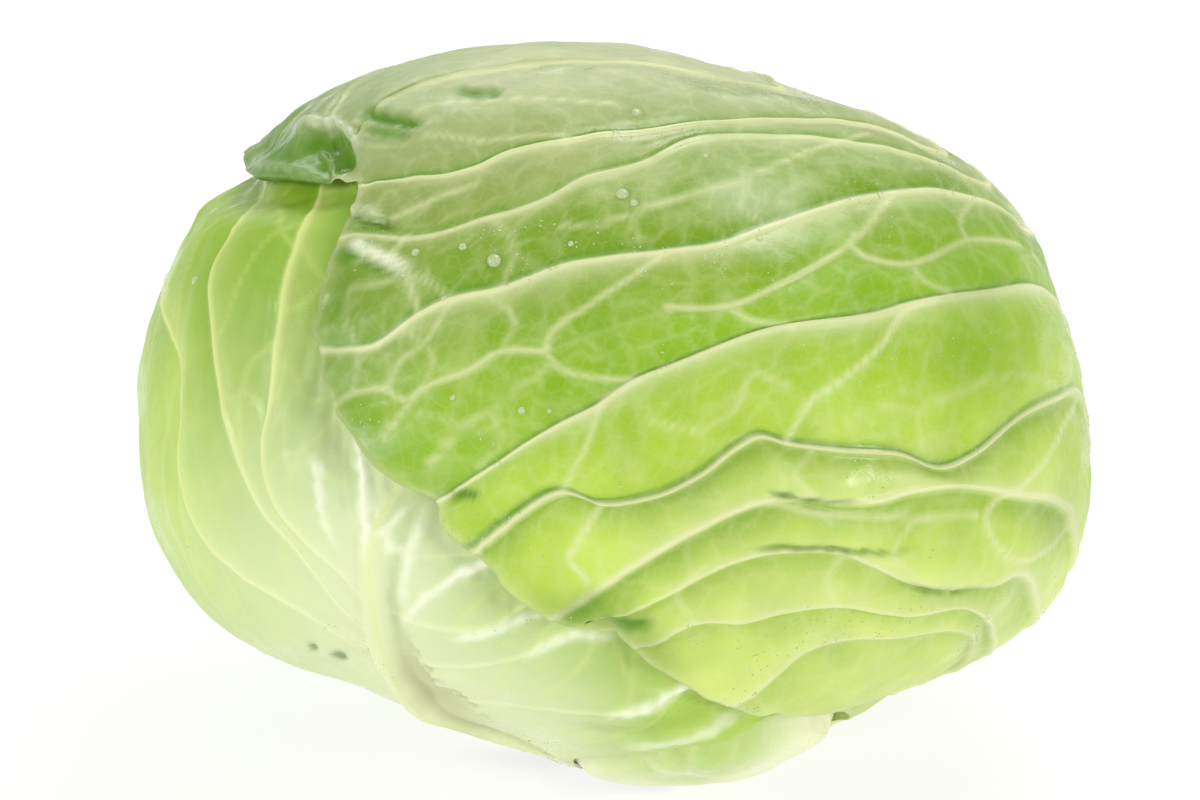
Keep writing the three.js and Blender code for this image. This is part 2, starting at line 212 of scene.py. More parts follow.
# Lines over the leaves run through directions and through points x, y of the head's front, in mm.
# Each rib: its place on the midrib, its place on the margin, how strong it is, and its way between.
FRONT_LEAF = {
    "midrib": [
        around(-42, LEAF_ROOT), (-19, -75.5), (-30, -71.5), (-40, -67), (-48.5, -57.5), (-52.5, -43),
        (-53.5, -32), (-51.5, -21), (-46, -8), (-34, 14), (-18, 40), (-4, 60)],
    "left": [around(a, b) for a, b in (
        (-66, LEAF_ROOT), (-78, 26), (-88, 48), (-100, 74), (-106, 100), (-104, 124), (-84, 142))]
    + [(-24, 70)],
    "right": [
        around(-26, LEAF_ROOT), (-9, -79), (3, -77.6), (17, -76), (31, -73), (47, -68.5), (62, -46),
        (60, -20), (52, 8), (36, 36), (14, 56)],
    "left_ribs": [
        (0, 0, 0, []),
        (0.9, 1.3, 0.3, []),
        (2.2, 2.5, 0.6, [around(-52, 47)]),
        (3.8, 4.3, 1, [(-57, -52), (-68, -45), (-81, -37), (-92, -27), (-97, -10), (-96, 4), (-97, 14)]),
        (4.4, 5.3, 1, [(-60, -43), (-70, -31), (-78, -21), (-85, -4), (-89, 17), (-89, 33), (-85, 40)]),
        (5, 6, 1, [(-61, -35), (-69, -28), (-76, -18), (-78, -8), (-76, 3), (-75, 17), (-73, 31),
            (-70, 41)]),
        (6.1, 6.3, 0.15, [(-59, -20), (-63, -6), (-62, 17), (-52, 42)]),
        (8.6, 6.6, 0, []),
        (11, 7, 0, []),
    ],
    "right_ribs": [
        (0, 0, 0, []),
        (0.9, 0.7, 0, []),
        (2.2, 1.9, 0.3, []),
        (3.8, 5.2, 0.6, [(-30, -64), (-14, -66), (8, -66), (27, -61)]),
        (4.4, 6, 0.6, [(-38, -56), (-21, -54.5), (-11, -51), (25, -48)]),
        (5, 6.8, 0.6, [(-40, -47.5), (-28, -48), (-18, -44), (20, -36)]),
        (6.1, 7.6, 0.5, [(-28, -33)]),
        (8.6, 8.8, 0.2, []),
        (11, 10, 0, []),
    ],
}

RIGHT_LEAF_RIBS = [
    (0, 0, 0, []),
    (0.4, 1.2, 0.3, []),
    (0.85, 3, 0.3, [around(64, 50)]),
    (1.3, 4.5, 0.6, [(79, -49), (67, -49.5), (44, -53)]),
    (1.6, 6.1, 0.7, [(79, -44), (63, -45), (49, -43.5), (37, -44.5), (28, -47), (18, -47)]),
    (1.85, 7, 0.8, [(90, -36), (83, -39), (67, -38.5), (57, -34), (49, -31), (37, -31), (27, -33),
        (18, -37)]),
    (2.1, 8.4, 1, [(100, -21), (88, -18), (76, -16), (66, -17.5), (59, -19.5), (50, -20), (41, -19),
        (32, -20), (18, -26), (3, -35)]),
    (2.5, 10.2, 1, [(104, 4), (98, 3), (90, -1), (79, -9.5), (71, -12.5), (63, -9.5), (50, -8.5), (38, -7),
        (32, -5.5), (27, -8), (19, -14), (11, -18), (3, -20), (-3, -20.5), (-12, -18)]),
    (2.9, 12, 1, [(98, 25.5), (93, 28), (83, 27), (67, 24.5), (56, 21.5), (39, 19.5), (32, 18), (14, 11),
        (4, 7), (-4, 1.5), (-12, -2.5), (-18, -6), (-27, -12)]),
    (3.3, 14.3, 0.1, [(92, 36), (78, 37), (66, 33), (57, 33.5), (51, 35), (37, 28.5), (25, 23.5), (11, 22),
        (-3, 18), (-15, 14), (-25, 13.5), (-32, 9.5), (-42, 5.5), (-48, 3)]),
    (3.8, 15.4, 1, [(90, 41), (84, 46), (77, 48.5), (67, 49), (56, 48), (44, 44.5), (35, 41.5), (23, 37),
        (11, 35.5), (-2, 34), (-11, 32.5), (-25, 27.5), (-37, 24.5), (-43, 21.5), (-54, 14.5)]),
    (4.3, 17.4, 0.8, [(82, 50.5), (72, 55), (60, 58.5), (48, 60.5), (36, 61.5), (24, 61.5), (15, 60),
        (6, 55.5), (-7, 51.5), (-18, 46), (-30, 42.5), (-38, 39.5), (-46, 38.5)]),
    (4.9, 19, 1, [(74, 57.5), (63, 62), (56, 64), (38, 65), (24, 64.6), (11, 63), (-2, 62), (-11, 60),
        (-23, 58), (-30, 55), (-36, 53), (-46, 52)]),
    (5.7, 20.2, 0.9, [(36, 72), (16, 76), (1, 78), (-18, 78), (-30, 76.5), (-40, 74), (-50, 70)]),
    (7.2, 20.6, 0.3, [(-50, 78), (-63, 67)]),
    (9, 21, 0, [(-81.5, 53.2), (-73, 52.4)]),
]

RIGHT_LEAF = {
    "midrib": [around(a, b) for a, b in (
        (112, LEAF_ROOT), (110, 35), (108, 60), (106, 88), (108, 115), (122, 140), (162, 157), (-140, 151),
        (-112, 136))] + [(-82, 57.5)],
    "left": [
        around(88, LEAF_ROOT), around(80, 35), (50, -66), (41, -68.4), (32, -68.6), (19, -64), (5, -54),
        (-2, -47), (-10, -48), (-21, -42), (-30, -33), (-38, -25), (-39, -20), (-49, -15), (-60, -4),
        (-65, 8), (-66, 23), (-63, 36), (-59, 45), (-57.5, 50), (-61, 52), (-65, 51.5)],
    "right": [around(a, b) for a, b in (
        (136, LEAF_ROOT), (158, 28), (178, 50), (192, 75), (204, 98), (222, 116), (240, 123), (-107, 123))],
    "left_ribs": RIGHT_LEAF_RIBS,
    "right_ribs": [
        (rib[0], 7 * (i / (len(RIGHT_LEAF_RIBS) - 1)) ** 0.75, rib[2], [])
        for i, rib in enumerate(RIGHT_LEAF_RIBS)],
}

# From the innermost leaf outwards. tall is how thick the leaf is at its ribs in mm, step the mesh's
# spacing over its left and right halves in mm, crest a rib's half width in mm, drop how far it falls
# below a rib and swell how far it bulges between two, as shares of its relief. From the rib numbered
# puffed on, it is lifted between its ribs instead of falling below them. stalk is how boldly its
# midrib stands, and bare how far it is pale: a share of its length from its foot, and mm from its
# midrib.
NO_RIB = 99
INNER = dict(tall=2, step=(1.3, 1.3), crest=1.2, drop=0.3, swell=0.35, puffed=NO_RIB, stalk=0.4,
             bare=(0.35, 24))
LEAVES = [
    dict(INNER, **even_leaf(154, 0.7, 158), name="leaf_1_right_back", step=(1.5, 1.5)),
    dict(INNER, **even_leaf(-74, 0.82, 156), name="leaf_2_left"),
    dict(INNER, **even_leaf(50, 0.95, 150, 96), name="leaf_3_right_front"),
    dict(INNER, **even_leaf(-157, 1, 160), name="leaf_4_back", tall=2.4, step=(1.2, 1.2), swell=0.4),
    dict(FRONT_LEAF, name=FRONT, tall=3.2, step=(0.85, 0.85), crest=0.85, drop=0.12,
         swell=0.3, puffed=NO_RIB, stalk=1.1),
    dict(RIGHT_LEAF, name=RIGHT, tall=3.6, step=(0.95, 2), crest=0.95, drop=0.7,
         swell=0.15, puffed=8, stalk=0.8, bare=(0.1, 12)),
]
DRAPE = 12.0  # how fast a leaf rises past the edge of one that lies on it; faster by the stem
ROOT_TUCK = 0.5  # how far the leaves' feet draw in to the stem
ROOT_REACH = 10.0  # and how many degrees out from their feet
BACK_STEP = 4  # how many of the outer face's squares go along one of the inner face's
NEAR_RIBS = 0.35  # how much closer the rows lie by the ribs
SIZE = 95.0  # the head's mean radius


def lay_out(leaf):
    """The leaf's midrib, margins and ribs as paths, its outline, and a flat map for inside tests."""
    leaf["middle"] = Path(leaf["midrib"])
    leaf["halves"] = []
    for side in ("left", "right"):
        margin = Path(leaf[side])
        ribs = leaf[side + "_ribs"]
        paths = [Path([leaf["middle"].at(a), *via, margin.at(b)]) for a, b, _, via in ribs]
        leaf["halves"].append((margin, np.array([rib[:2] for rib in ribs], float), paths))
    leaf["rows"] = len(leaf["left_ribs"]) - 1
    rows = np.linspace(0, leaf["rows"], leaf["rows"] * 5 + 1)
    left = leaf_ways(leaf, rows, [-1])[:, 0]
    right = leaf_ways(leaf, rows, [1])[:, 0]
    tip = leaf_ways(leaf, [leaf["rows"]], np.linspace(0.8, -0.8, 9))[0]
    base = leaf_ways(leaf, [0], np.linspace(-0.8, 0.8, 9))[0]
    leaf["outline"] = np.vstack([right, tip, left[::-1], base])
    middle = unit(leaf_ways(leaf, [leaf["rows"] / 2], [-0.6, 0, 0.6])[0].sum(0))
    east = unit(np.cross([0.3, 0.5, 0.8], middle))
    leaf["map"] = (middle, east, np.cross(middle, east))
    leaf["flat"] = flatten(leaf, leaf["outline"])


def leaf_ways(leaf, rows, sides):
    """Directions of the leaf at rows (ribs from base to tip) by sides (-1 left to 1 right)."""
    rows, sides = np.array(rows, float), np.array(sides, float)
    result = np.empty((len(rows), len(sides), 3))
    for half, chosen in zip(leaf["halves"], (sides < 0, sides >= 0)):
        if not chosen.any():
            continue
        margin, ribs, paths = half
        share = np.abs(sides[chosen])
        points = np.array([path.share(share) for path in paths])
        low = np.minimum(np.floor(rows).astype(int), len(paths) - 2)
        t = rows - low

        def blend(values):
            weight = t.reshape((-1,) + (1,) * (values.ndim - 1))
            return values[low] * (1 - weight) + values[low + 1] * weight

        ways = blend(points)
        start = leaf["middle"].at(blend(ribs[:, 0])) - blend(np.array([path.at(0) for path in paths]))
        end = margin.at(blend(ribs[:, 1])) - blend(np.array([path.at(path.last) for path in paths]))
        ways += start[:, None] * ((1 - share) ** 2)[None, :, None]
        ways += end[:, None] * (share ** 2)[None, :, None]
        result[:, chosen] = unit(ways)
    return result


def flatten(leaf, ways):
    """Directions on the leaf's flat map."""
    middle, east, north = leaf["map"]
    scale = 1 + ways @ middle
    return np.stack([ways @ east, ways @ north], -1) / scale[..., None]


def distance_outside(leaf, ways):
    """Millimetres from the leaf's outline, 0 inside it, for an array of directions."""
    points = ways.reshape(-1, 3)
    xy = flatten(leaf, points)
    inside = np.zeros(len(points), bool)
    least = np.full(len(points), np.inf)
    outline, flat = leaf["outline"], leaf["flat"]
    for i in range(len(outline)):
        j = (i + 1) % len(outline)
        (x0, y0), (x1, y1) = flat[i], flat[j]
        if y0 != y1:
            crosses = (y0 > xy[:, 1]) != (y1 > xy[:, 1])
            inside ^= crosses & (xy[:, 0] < x0 + (xy[:, 1] - y0) / (y1 - y0) * (x1 - x0))
        along = outline[j] - outline[i]
        t = np.clip((points - outline[i]) @ along / max(along @ along, 1e-12), 0, 1)
        least = np.minimum(least, np.linalg.norm(points - outline[i] - t[:, None] * along, axis=1))
    return (np.where(inside, 0, least) * head_radius(points)).reshape(ways.shape[:-1])


def held(layer, ways):
    """How deep the leaves outside a layer press it, and how open it is clear of their edges."""
    depth = np.zeros(ways.shape[:-1])
    is_open = np.ones(ways.shape[:-1])
    drape = DRAPE * (0.2 + 0.8 * smooth((stem_angle(ways) - 30) / 30))
    for leaf in LEAVES[layer + 1:]:
        clear = distance_outside(leaf, ways) - EDGE_ROOM * slim(ways)
        depth += (1 - smooth(clear / drape)) * (leaf["tall"] + GAP) * slim(ways)
        is_open = np.minimum(is_open, smooth(clear / EDGE_REACH))
    return depth, is_open


def spread(values, rows, columns):
    """Bilinear values on a fine grid from a coarse one over the same rows and columns."""
    r = np.linspace(0, values.shape[0] - 1, rows)
    c = np.linspace(0, values.shape[1] - 1, columns)
    i = np.minimum(r.astype(int), values.shape[0] - 2)
    j = np.minimum(c.astype(int), values.shape[1] - 2)
    u = (r - i)[:, None]
    v = (c - j)[None, :]
    top = values[i][:, j] * (1 - v) + values[i][:, j + 1] * v
    low = values[i + 1][:, j] * (1 - v) + values[i + 1][:, j + 1] * v
    return top * (1 - u) + low * u


def ripple(points, size, seed):
    """Smooth noise between about -1 and 1, for points in millimetres, with waves of a given size."""
    rng = np.random.default_rng(seed)
    total = np.zeros(points.shape[:-1])
    for _ in range(7):
        direction = unit(rng.normal(size=3))
        pace = 2 * math.pi / (size * rng.uniform(0.7, 1.4))
        total += np.sin(points @ direction * pace + rng.uniform(0, 2 * math.pi))
    return total / 2.6


def waves(points, sizes, layer=0):
    """Ripples of several sizes at once, each with its height and its seed."""
    return sum(height * ripple(points, size, seed + layer) for size, height, seed in sizes)


def damp(points):
    """Where the leaves are damp, between about -1 and 1."""
    return ripple(points, 30, 77)


# ---------------------------------------------------------------- finer veins
# Branches that show on the right leaf's front: how strong, and points in the outline's plane.
BRANCHES = [
    (0.9, [(1, 68), (-16, 69), (-32, 68.5), (-39, 68), (-48, 64), (-58, 64)]),
    (0.7, [(-8, 60.5), (-18, 61), (-32, 60), (-41, 61), (-48, 59), (-56, 59.5)]),
    (0.7, [(56, 61.5), (38, 55.5), (32, 53), (21, 48.5), (11, 46), (-4, 41), (-12, 41)]),
    (0.8, [(-31, 50.5), (-42, 46), (-50, 42.5)]),
    (0.8, [(-46, 39), (-49, 35), (-46, 31), (-43, 22)]),
    (0.9, [(11, 35), (4, 30), (-7, 22.5), (-14, 17.5), (-15, 13.5), (-12, 9.5), (-4, 7.5), (4, 7)]),
    (0.9, [(62, 48.5), (59, 45), (51, 36.5), (37, 28.5), (25, 23.5), (11, 23)]),
    (0.8, [(25, 23.5), (29, 20.5), (39, 19)]),
    (0.9, [(51, 36.5), (56, 34), (66, 33), (78, 38), (90, 37)]),
    (0.7, [(66, 33), (68, 29), (74, 26)]),
    (0.7, [(78, 38), (76, 41.5), (80, 47.5)]),
    (1, [(71, 25), (64, 22), (59, 15), (51, 8), (42, 1.5), (38, -6)]),
    (0.9, [(-15, 13.5), (-25, 13.5), (-32, 9.5), (-42, 5.5), (-46, 2.5), (-51, 5), (-58, 4), (-64, 0.5)]),
    (1, [(-3, -20.5), (-8, -28.5), (-10, -32.5), (-6, -38)]),
    (0.9, [(30, -20), (38, -21), (44, -22.5), (63, -23.5), (81, -23.5)]),
    (1, [(104, 2), (100, -5), (93, -13.5), (85, -20.5), (83, -23.5), (85, -30), (90, -33), (98, -30),
         (105, -20.5)]),
    (0.5, [(-25, 14), (-22, 20), (-28, 26)]),
    (0.5, [(-42, 5), (-40, 12), (-46, 18)]),
    (0.8, [(5.5, 7), (-2, 3), (-6.5, -8), (-12, -18)]),
    (0.7, [(-42, 5.5), (-47, 0), (-52, -5.5)]),
    (0.6, [(-14.4, 10), (-21, 5), (-33, -3.3), (-41, -11.7)]),
    (0.6, [(-36.5, 23.7), (-41, 16), (-47.5, 10.4), (-50.5, 4.4)]),
    (0.6, [(-58.5, 28), (-51, 28.6), (-42, 29.5), (-36.5, 25)]),
    (0.5, [(-58.5, 28), (-60, 22), (-57, 14), (-58, 4)]),
    (0.4, [(-47, 0), (-40, -1), (-33, -3.3)]),
    (0.4, [(-27, 0), (-25, -7), (-30, -12)]),
    (0.5, [(8, -2), (18, -4), (26, 0), (30, 8), (38, 6)]),
    (0.5, [(44, -9), (40, -14), (44, -19)]),
    (0.5, [(58, 2), (66, 0), (76, 5), (88, 8), (98, 6)]),
    (0.4, [(66, 0), (68, -8)]),
    (0.5, [(-27, 43), (-22, 36), (-25, 28)]),
    (0.4, [(3, 43), (6, 37)]),
    (0.4, [(30, 52), (28, 45), (34, 41)]),
    (0.5, [(18, -47), (14, -40), (20, -34)]),
    (0.5, [(50, -44), (47, -37), (52, -31)]),
    (0.5, [(66, -25), (62, -31), (68, -38)]),
]


def branch_lines(leaf, layer):
    """Branches between neighbouring ribs, by rule, with their strengths. Where the right leaf's
    branches are drawn, none is added."""
    rng = np.random.default_rng(40 + layer)
    lines = []
    for sign in (-1, 1):
        for rib in range(1, leaf["rows"]):
            for share in np.arange(0.12, 0.95, 0.17):
                start = share + rng.uniform(-0.05, 0.05)
                bend = rng.uniform(-0.5, 0.5)
                t = np.linspace(0, 1, 6)
                rows = rib + t * rng.choice((-1.0, 1.0))
                sides = sign * np.clip(start + t * 0.13 + 0.02 * np.sin(t * 6 + bend * 9), 0, 0.985)
                line = [leaf_ways(leaf, [row], [side])[0, 0] for row, side in zip(rows, sides)]
                in_drawing = leaf["name"] == RIGHT and sign < 0 and max(way[2] for way in line) > 0.3
                if not in_drawing:
                    lines.append((0.5, line))
    return lines


def tree_of(ways):
    tree = KDTree(len(ways))
    for i, way in enumerate(ways):
        tree.insert(way, i)
    tree.balance()
    return tree


def crests(lines, ways, width):
    """How near each direction is to some lines, from 0 to the line's strength, and the distance."""
    samples, strengths = [], []
    for strength, line in lines:
        path = Path(line)
        count = max(int(path.reach[-1] * SIZE / 0.5), 2)
        samples.append(path.share(np.linspace(0, 1, count)))
        strengths += [strength] * count
    tree = tree_of(np.vstack(samples))
    found = [tree.find(way)[1:] for way in ways.reshape(-1, 3)]
    index, gap = np.array(found).T
    gap = (gap * SIZE).reshape(ways.shape[:-1])
    strength = np.array(strengths)[index.astype(int)].reshape(gap.shape)
    return strength * bell(gap, width), gap


def net(ways, size, seed):
    """Distance in mm from the walls of a net of cells over the head."""
    rng = np.random.default_rng(seed)
    count = int(4 * math.pi * (SIZE / size) ** 2)
    tree = tree_of(unit(rng.normal(size=(count, 3))))
    bend = np.stack([ripple(ways * SIZE, size * 1.3, seed + k) for k in range(3)], -1)
    bent = ways + bend * 0.13 * size / SIZE
    found = np.array([[hit[2] for hit in tree.find_n(way, 2)] for way in bent.reshape(-1, 3)])
    return (found[:, 1] - found[:, 0]).reshape(ways.shape[:-1]) * SIZE / 2


# ---------------------------------------------------------------- folds, dents and marks
# Folds and marks on the head's front, for each leaf: a line in the outline's plane, its width, how high it
# stands, then how dark it is, how pale and how brown it is, where it is that. The dark is painted shade in
# folds, pockets, slits and under flaps, and elsewhere plainly darker green.
MARKS = {
    RIGHT: [
        ([(-61, 45), (-56, 43), (-52, 42), (-48, 41)], 0.9, -1.8, 1),
        ([(-62, 46.5), (-56, 44.8), (-51, 43.6)], 1.1, 0.9, 0, 0.4),
        ([(-60.5, 39), (-56, 36.5), (-51, 34), (-43, 30.5)], 1.5, 0.8, 0, 0.85),
        ([(-61, 37), (-57, 34.5), (-52, 31.5), (-46, 29)], 1.0, -0.4, 0.9),
        ([(-63, 36), (-60.5, 35), (-58, 33)], 2.2, -0.3, 0.9),
        ([(-58, 34), (-61, 28), (-62, 20)], 3.0, -0.3, 0.4),
        ([(-37, 71.8), (-30, 70.8), (-24, 70.8)], 1.2, -1.5, 1),
        ([(-57, 66.4), (-49, 64.8), (-42, 63.4)], 1.3, -1.4, 0.95),
        ([(-57, 63.6), (-50, 61.8), (-44, 61)], 1.5, -0.6, 0.5),
        ([(-37, -18.6), (-33, -18.2), (-29.5, -18.6)], 1.1, -0.6, 1),
        ([(-4.5, -46.2), (3, -47.6), (10, -46.2)], 1.3, -1.0, 0.8),
        ([(-12, -47), (-8, -44.5), (-2, -39)], 2.4, 0.5, 0.3),
        ([(-69, 60.5), (-65, 58), (-61.5, 53)], 4.2, -2.6, 0.85),
        ([(-63.5, 62), (-60.5, 59), (-60, 53)], 2.0, -1.4, 1),
        ([(-72, 61), (-68, 64), (-62, 64.6), (-58.3, 61), (-57.6, 55)], 0.9, 1.8, 0, 0.45),
        ([(-67, 59.5), (-64.5, 56.5), (-63.5, 52.5)], 0.9, 0.9, 0, 0.12),
        ([(-82, 56.5), (-76, 54.5), (-70, 54), (-64, 52)], 1.1, 1.0, 0, 0.15),
        ([(-81, 59.5), (-75, 60), (-70, 62.5)], 1.5, -0.9, 0.5),
        ([(-79, 56.5), (-74, 57), (-70, 56.5)], 2.5, -0.5, 0.4),
        ([(-90, 55), (-72, 57), (-52, 57)], 6, 0, 0.55),
        ([(33, -17.2), (36.5, -18.4), (41, -19.3), (47.6, -20), (56.5, -19.9)], 0.7, -0.8, 0.8),
        ([(27, -30.3), (38, -30), (48.7, -30.3), (54.3, -31.2), (70.9, -31.2)], 0.7, -0.8, 0.8),
        ([(62, -37.5), (70.9, -39.6), (77.5, -39.9), (86, -38.8)], 0.7, -0.8, 0.7),
        ([(68, 14), (82, 13), (98, 8)], 10, 0, 0.36),
        ([(66, 38), (78, 32), (88, 22)], 8, 0, 0.25),
        ([(-62, 70), (-51, 63), (-45, 54)], 8, 0, 0.34),
        # a painted sheen: a broad pale band where light glances off the leaf
        ([(20, 50), (32, 47), (44, 44)], 6, 0, 0, 0.2),
        ([(-62, 31), (-64, 18), (-62, 5), (-57, -7), (-46, -15)], 6, 0, 0.3),
        ([(-26, -34), (-16, -43), (-4, -45), (8, -53), (20, -62)], 5, 0, 0.4),
        ([(103, 0), (103, -16), (97, -33)], 6, 0, 0.2),
    ],
    FRONT: [
        ([(-68, -51.8), (-66.6, -52.1), (-65.6, -52.4)], 0.9, -0.7, 0, 0, 1),
        ([(-63.4, -53.3), (-61, -54), (-59, -54.7)], 1.0, -0.8, 0, 0, 1),
        ([(-67.5, -8), (-65.5, -13.5), (-63.5, -23), (-61, -31)], 0.75, 0.5, 0, 0.8),
        ([(-60, -4), (-58.5, -10), (-56.5, -18), (-54.5, -26), (-54.5, -34)], 1.0, 0.7, 0, 1),
        ([(-46, -31), (-49, -30), (-51, -26), (-46, -20)], 0.9, 0.5, 0, 0.8),
        ([(-48, -48), (-42, -41), (-35, -36.5), (-27, -34)], 1.0, 0.6, 0, 0.9),
        ([(-44.5, -20), (-48, -31), (-49, -40), (-47.8, -48), (-44, -55)], 1.5, -0.8, 0.22),
        ([(-42.5, -20), (-45, -29), (-46.3, -37), (-46.3, -44)], 1.1, 0.6, 0, 0.7),
        ([(-38, -39), (-28, -34.5), (-18, -34)], 1.0, 0.5, 0, 0.6),
        ([(-37, -50), (-28, -49), (-12, -45.5)], 1.0, 0.5, 0, 0.7),
        ([(-22, -55), (-10, -51.5), (2, -52)], 1.0, 0.5, 0, 0.7),
        ([(-4, -67.5), (10, -66), (24, -61.5)], 1.0, 0.6, 0, 0.9),
        ([(-12, -70), (4, -71), (22, -68)], 1.2, -0.7, 0.15),
        ([(0, -74.5), (14, -73), (34, -70)], 1.0, 0.5, 0, 0.6),
    ],
}
# The foot of the front leaf's midrib, and where its right half starts, torn, over that foot.
STALK = [(-50, -36), (-48, -53), (-20, -74)]
TORN = [(-46.5, -45), (-45, -50.5), (-43.2, -56), (-41, -57.6), (-39.9, -60.5), (-37.2, -60.9),
        (-35.4, -62.7), (-28.8, -68.2), (-23, -71)]


def beside(line, x, y):
    """Distance from a line in the outline's plane, the same with a sign (plus on its left), and
    how near the place is to the line's ends, 0 at them to 1 well within."""
    least = np.full(x.shape, np.inf)
    signed = np.zeros(x.shape)
    place = np.zeros(x.shape)
    for k, ((x0, y0), (x1, y1)) in enumerate(zip(line, line[1:])):
        dx, dy = x1 - x0, y1 - y0
        t = np.clip(((x - x0) * dx + (y - y0) * dy) / (dx * dx + dy * dy), 0, 1)
        gap = np.hypot(x - x0 - t * dx, y - y0 - t * dy)
        nearer = gap < least
        least = np.where(nearer, gap, least)
        signed = np.where(nearer, np.sign(dx * (y - y0) - dy * (x - x0)) * gap, signed)
        place = np.where(nearer, (k + t) / (len(line) - 1), place)
    return least, signed, smooth(np.minimum(place, 1 - place) / 0.3)


def marks(name, points):
    """Height, painted shade with darker green, pale and brown of a leaf's marks at points on the head, on
    its front alone.
    """
    x, y, z = parts(points)
    result = [np.zeros(x.shape) for _ in range(4)]
    for line, width, *amounts in MARKS.get(name, []):
        gap, _, within = beside(line, x, y)
        gap = gap + 0.25 * ripple(points, 4, 5)
        near = np.where(z > -4, bell(gap, width), 0) * within ** 0.7
        for k, amount in enumerate(amounts):
            result[k] += amount * near
    return result


# ---------------------------------------------------------------- a fine leaf
def grid_rows(leaf):
    """Rows from base to tip, spaced evenly in mm, in a multiple of BACK_STEP to each rib."""
    at_ribs = leaf_ways(leaf, range(leaf["rows"] + 1), np.linspace(-1, 1, 41))
    apart = np.linalg.norm(at_ribs[1:] - at_ribs[:-1], axis=-1).mean(1) * SIZE
    rows = [0.0]
    for rib, gap in enumerate(apart):
        count = BACK_STEP * max(1, round(gap / leaf["step"][0] / BACK_STEP))
        even = np.arange(1, count + 1) / count
        rows += list(rib + even - NEAR_RIBS * np.sin(2 * math.pi * even) / (2 * math.pi))
    return np.array(rows)


def grid_sides(leaf):
    """Columns from the left margin to the right one, at the same spacing."""
    counts = []
    for step, (_, _, paths) in zip(leaf["step"], leaf["halves"]):
        width = np.mean([path.reach[-1] for path in paths[1:-1]]) * SIZE
        counts.append(BACK_STEP * round(width / step / BACK_STEP))
    left, right = counts
    return left, np.concatenate([np.linspace(-1, 0, left + 1), np.linspace(0, 1, right + 1)[1:]])


# Waves over a leaf: size in mm, height and seed.
TEETH = [(9, 0.8, 3), (3.5, 0.6, 9)]  # in its margin
ROLLING = [(30, 0.35, 60), (9, 0.14, 80)]  # over its blade
CURL = [(34, 0.7, 20), (11, 0.5, 30)]  # in how its edge lifts
PATCHES = [(40, 0.3, 51), (13, 0.2, 52)]  # in how green it is
BRANCH_WIDTH = 0.75
CELL = 8.5  # the size of the net's cells
WALL_WIDTH = 0.5
MIDRIB = 6.5  # half the midrib's width at the leaf's foot
GROOVE = 0.4  # how far beside the midrib its groove runs
SKIRT = 13.0  # how wide the midrib's sides run out
HOLLOW = 24.0  # and the hollow that it lies in
EDGE = 9  # powers of the share of the way to the margin: the higher, the closer to it
SHARP_EDGE = 30
EDGE_THINNER = 0.45  # in mm from below, and as a share from above
LEAST_THICK = 0.5
FLAT_THICK = 0.6  # on the flat spot
BETWEEN = 0.7  # how high the blade lies between two ribs, as a share of its relief
ON_RIB = (0.75, 0.25)  # the same on a rib: in any case, and with the rib's strength
PUFF = 2.6  # how far a puffed stretch is lifted


def leaf_grid(leaf, layer):
    """A fine grid of directions over the leaf, with its margin cut in teeth, and how the leaves
    over it press it."""
    rows = grid_rows(leaf)
    left, sides = grid_sides(leaf)
    ways = leaf_ways(leaf, rows, sides)
    share = np.abs(sides)[None, :]
    pressed = held(layer, ways[::BACK_STEP, ::BACK_STEP])
    depth, is_open = (spread(values, *ways.shape[:2]) for values in pressed)

    middle = ways[:, left:left + 1]
    outward = unit(ways - middle + 1e-9)
    wide = np.linalg.norm(ways - middle, axis=-1) * SIZE
    inland = smooth((np.minimum(rows, leaf["rows"] - rows)[:, None] - 0.3) / 1.2)
    teeth = waves(ways * SIZE, TEETH, layer) * share ** 24 * inland * smooth(wide / 40)
    ways = unit(ways + outward * (teeth / SIZE)[..., None])
    return SimpleNamespace(
        rows=rows, sides=sides, share=share, along=(rows / leaf["rows"])[:, None], ways=ways,
        points=ways * head_radius(ways)[..., None], wide=wide, inland=inland, depth=depth,
        is_open=is_open, from_stem=stem_angle(ways), thin=slim(ways))


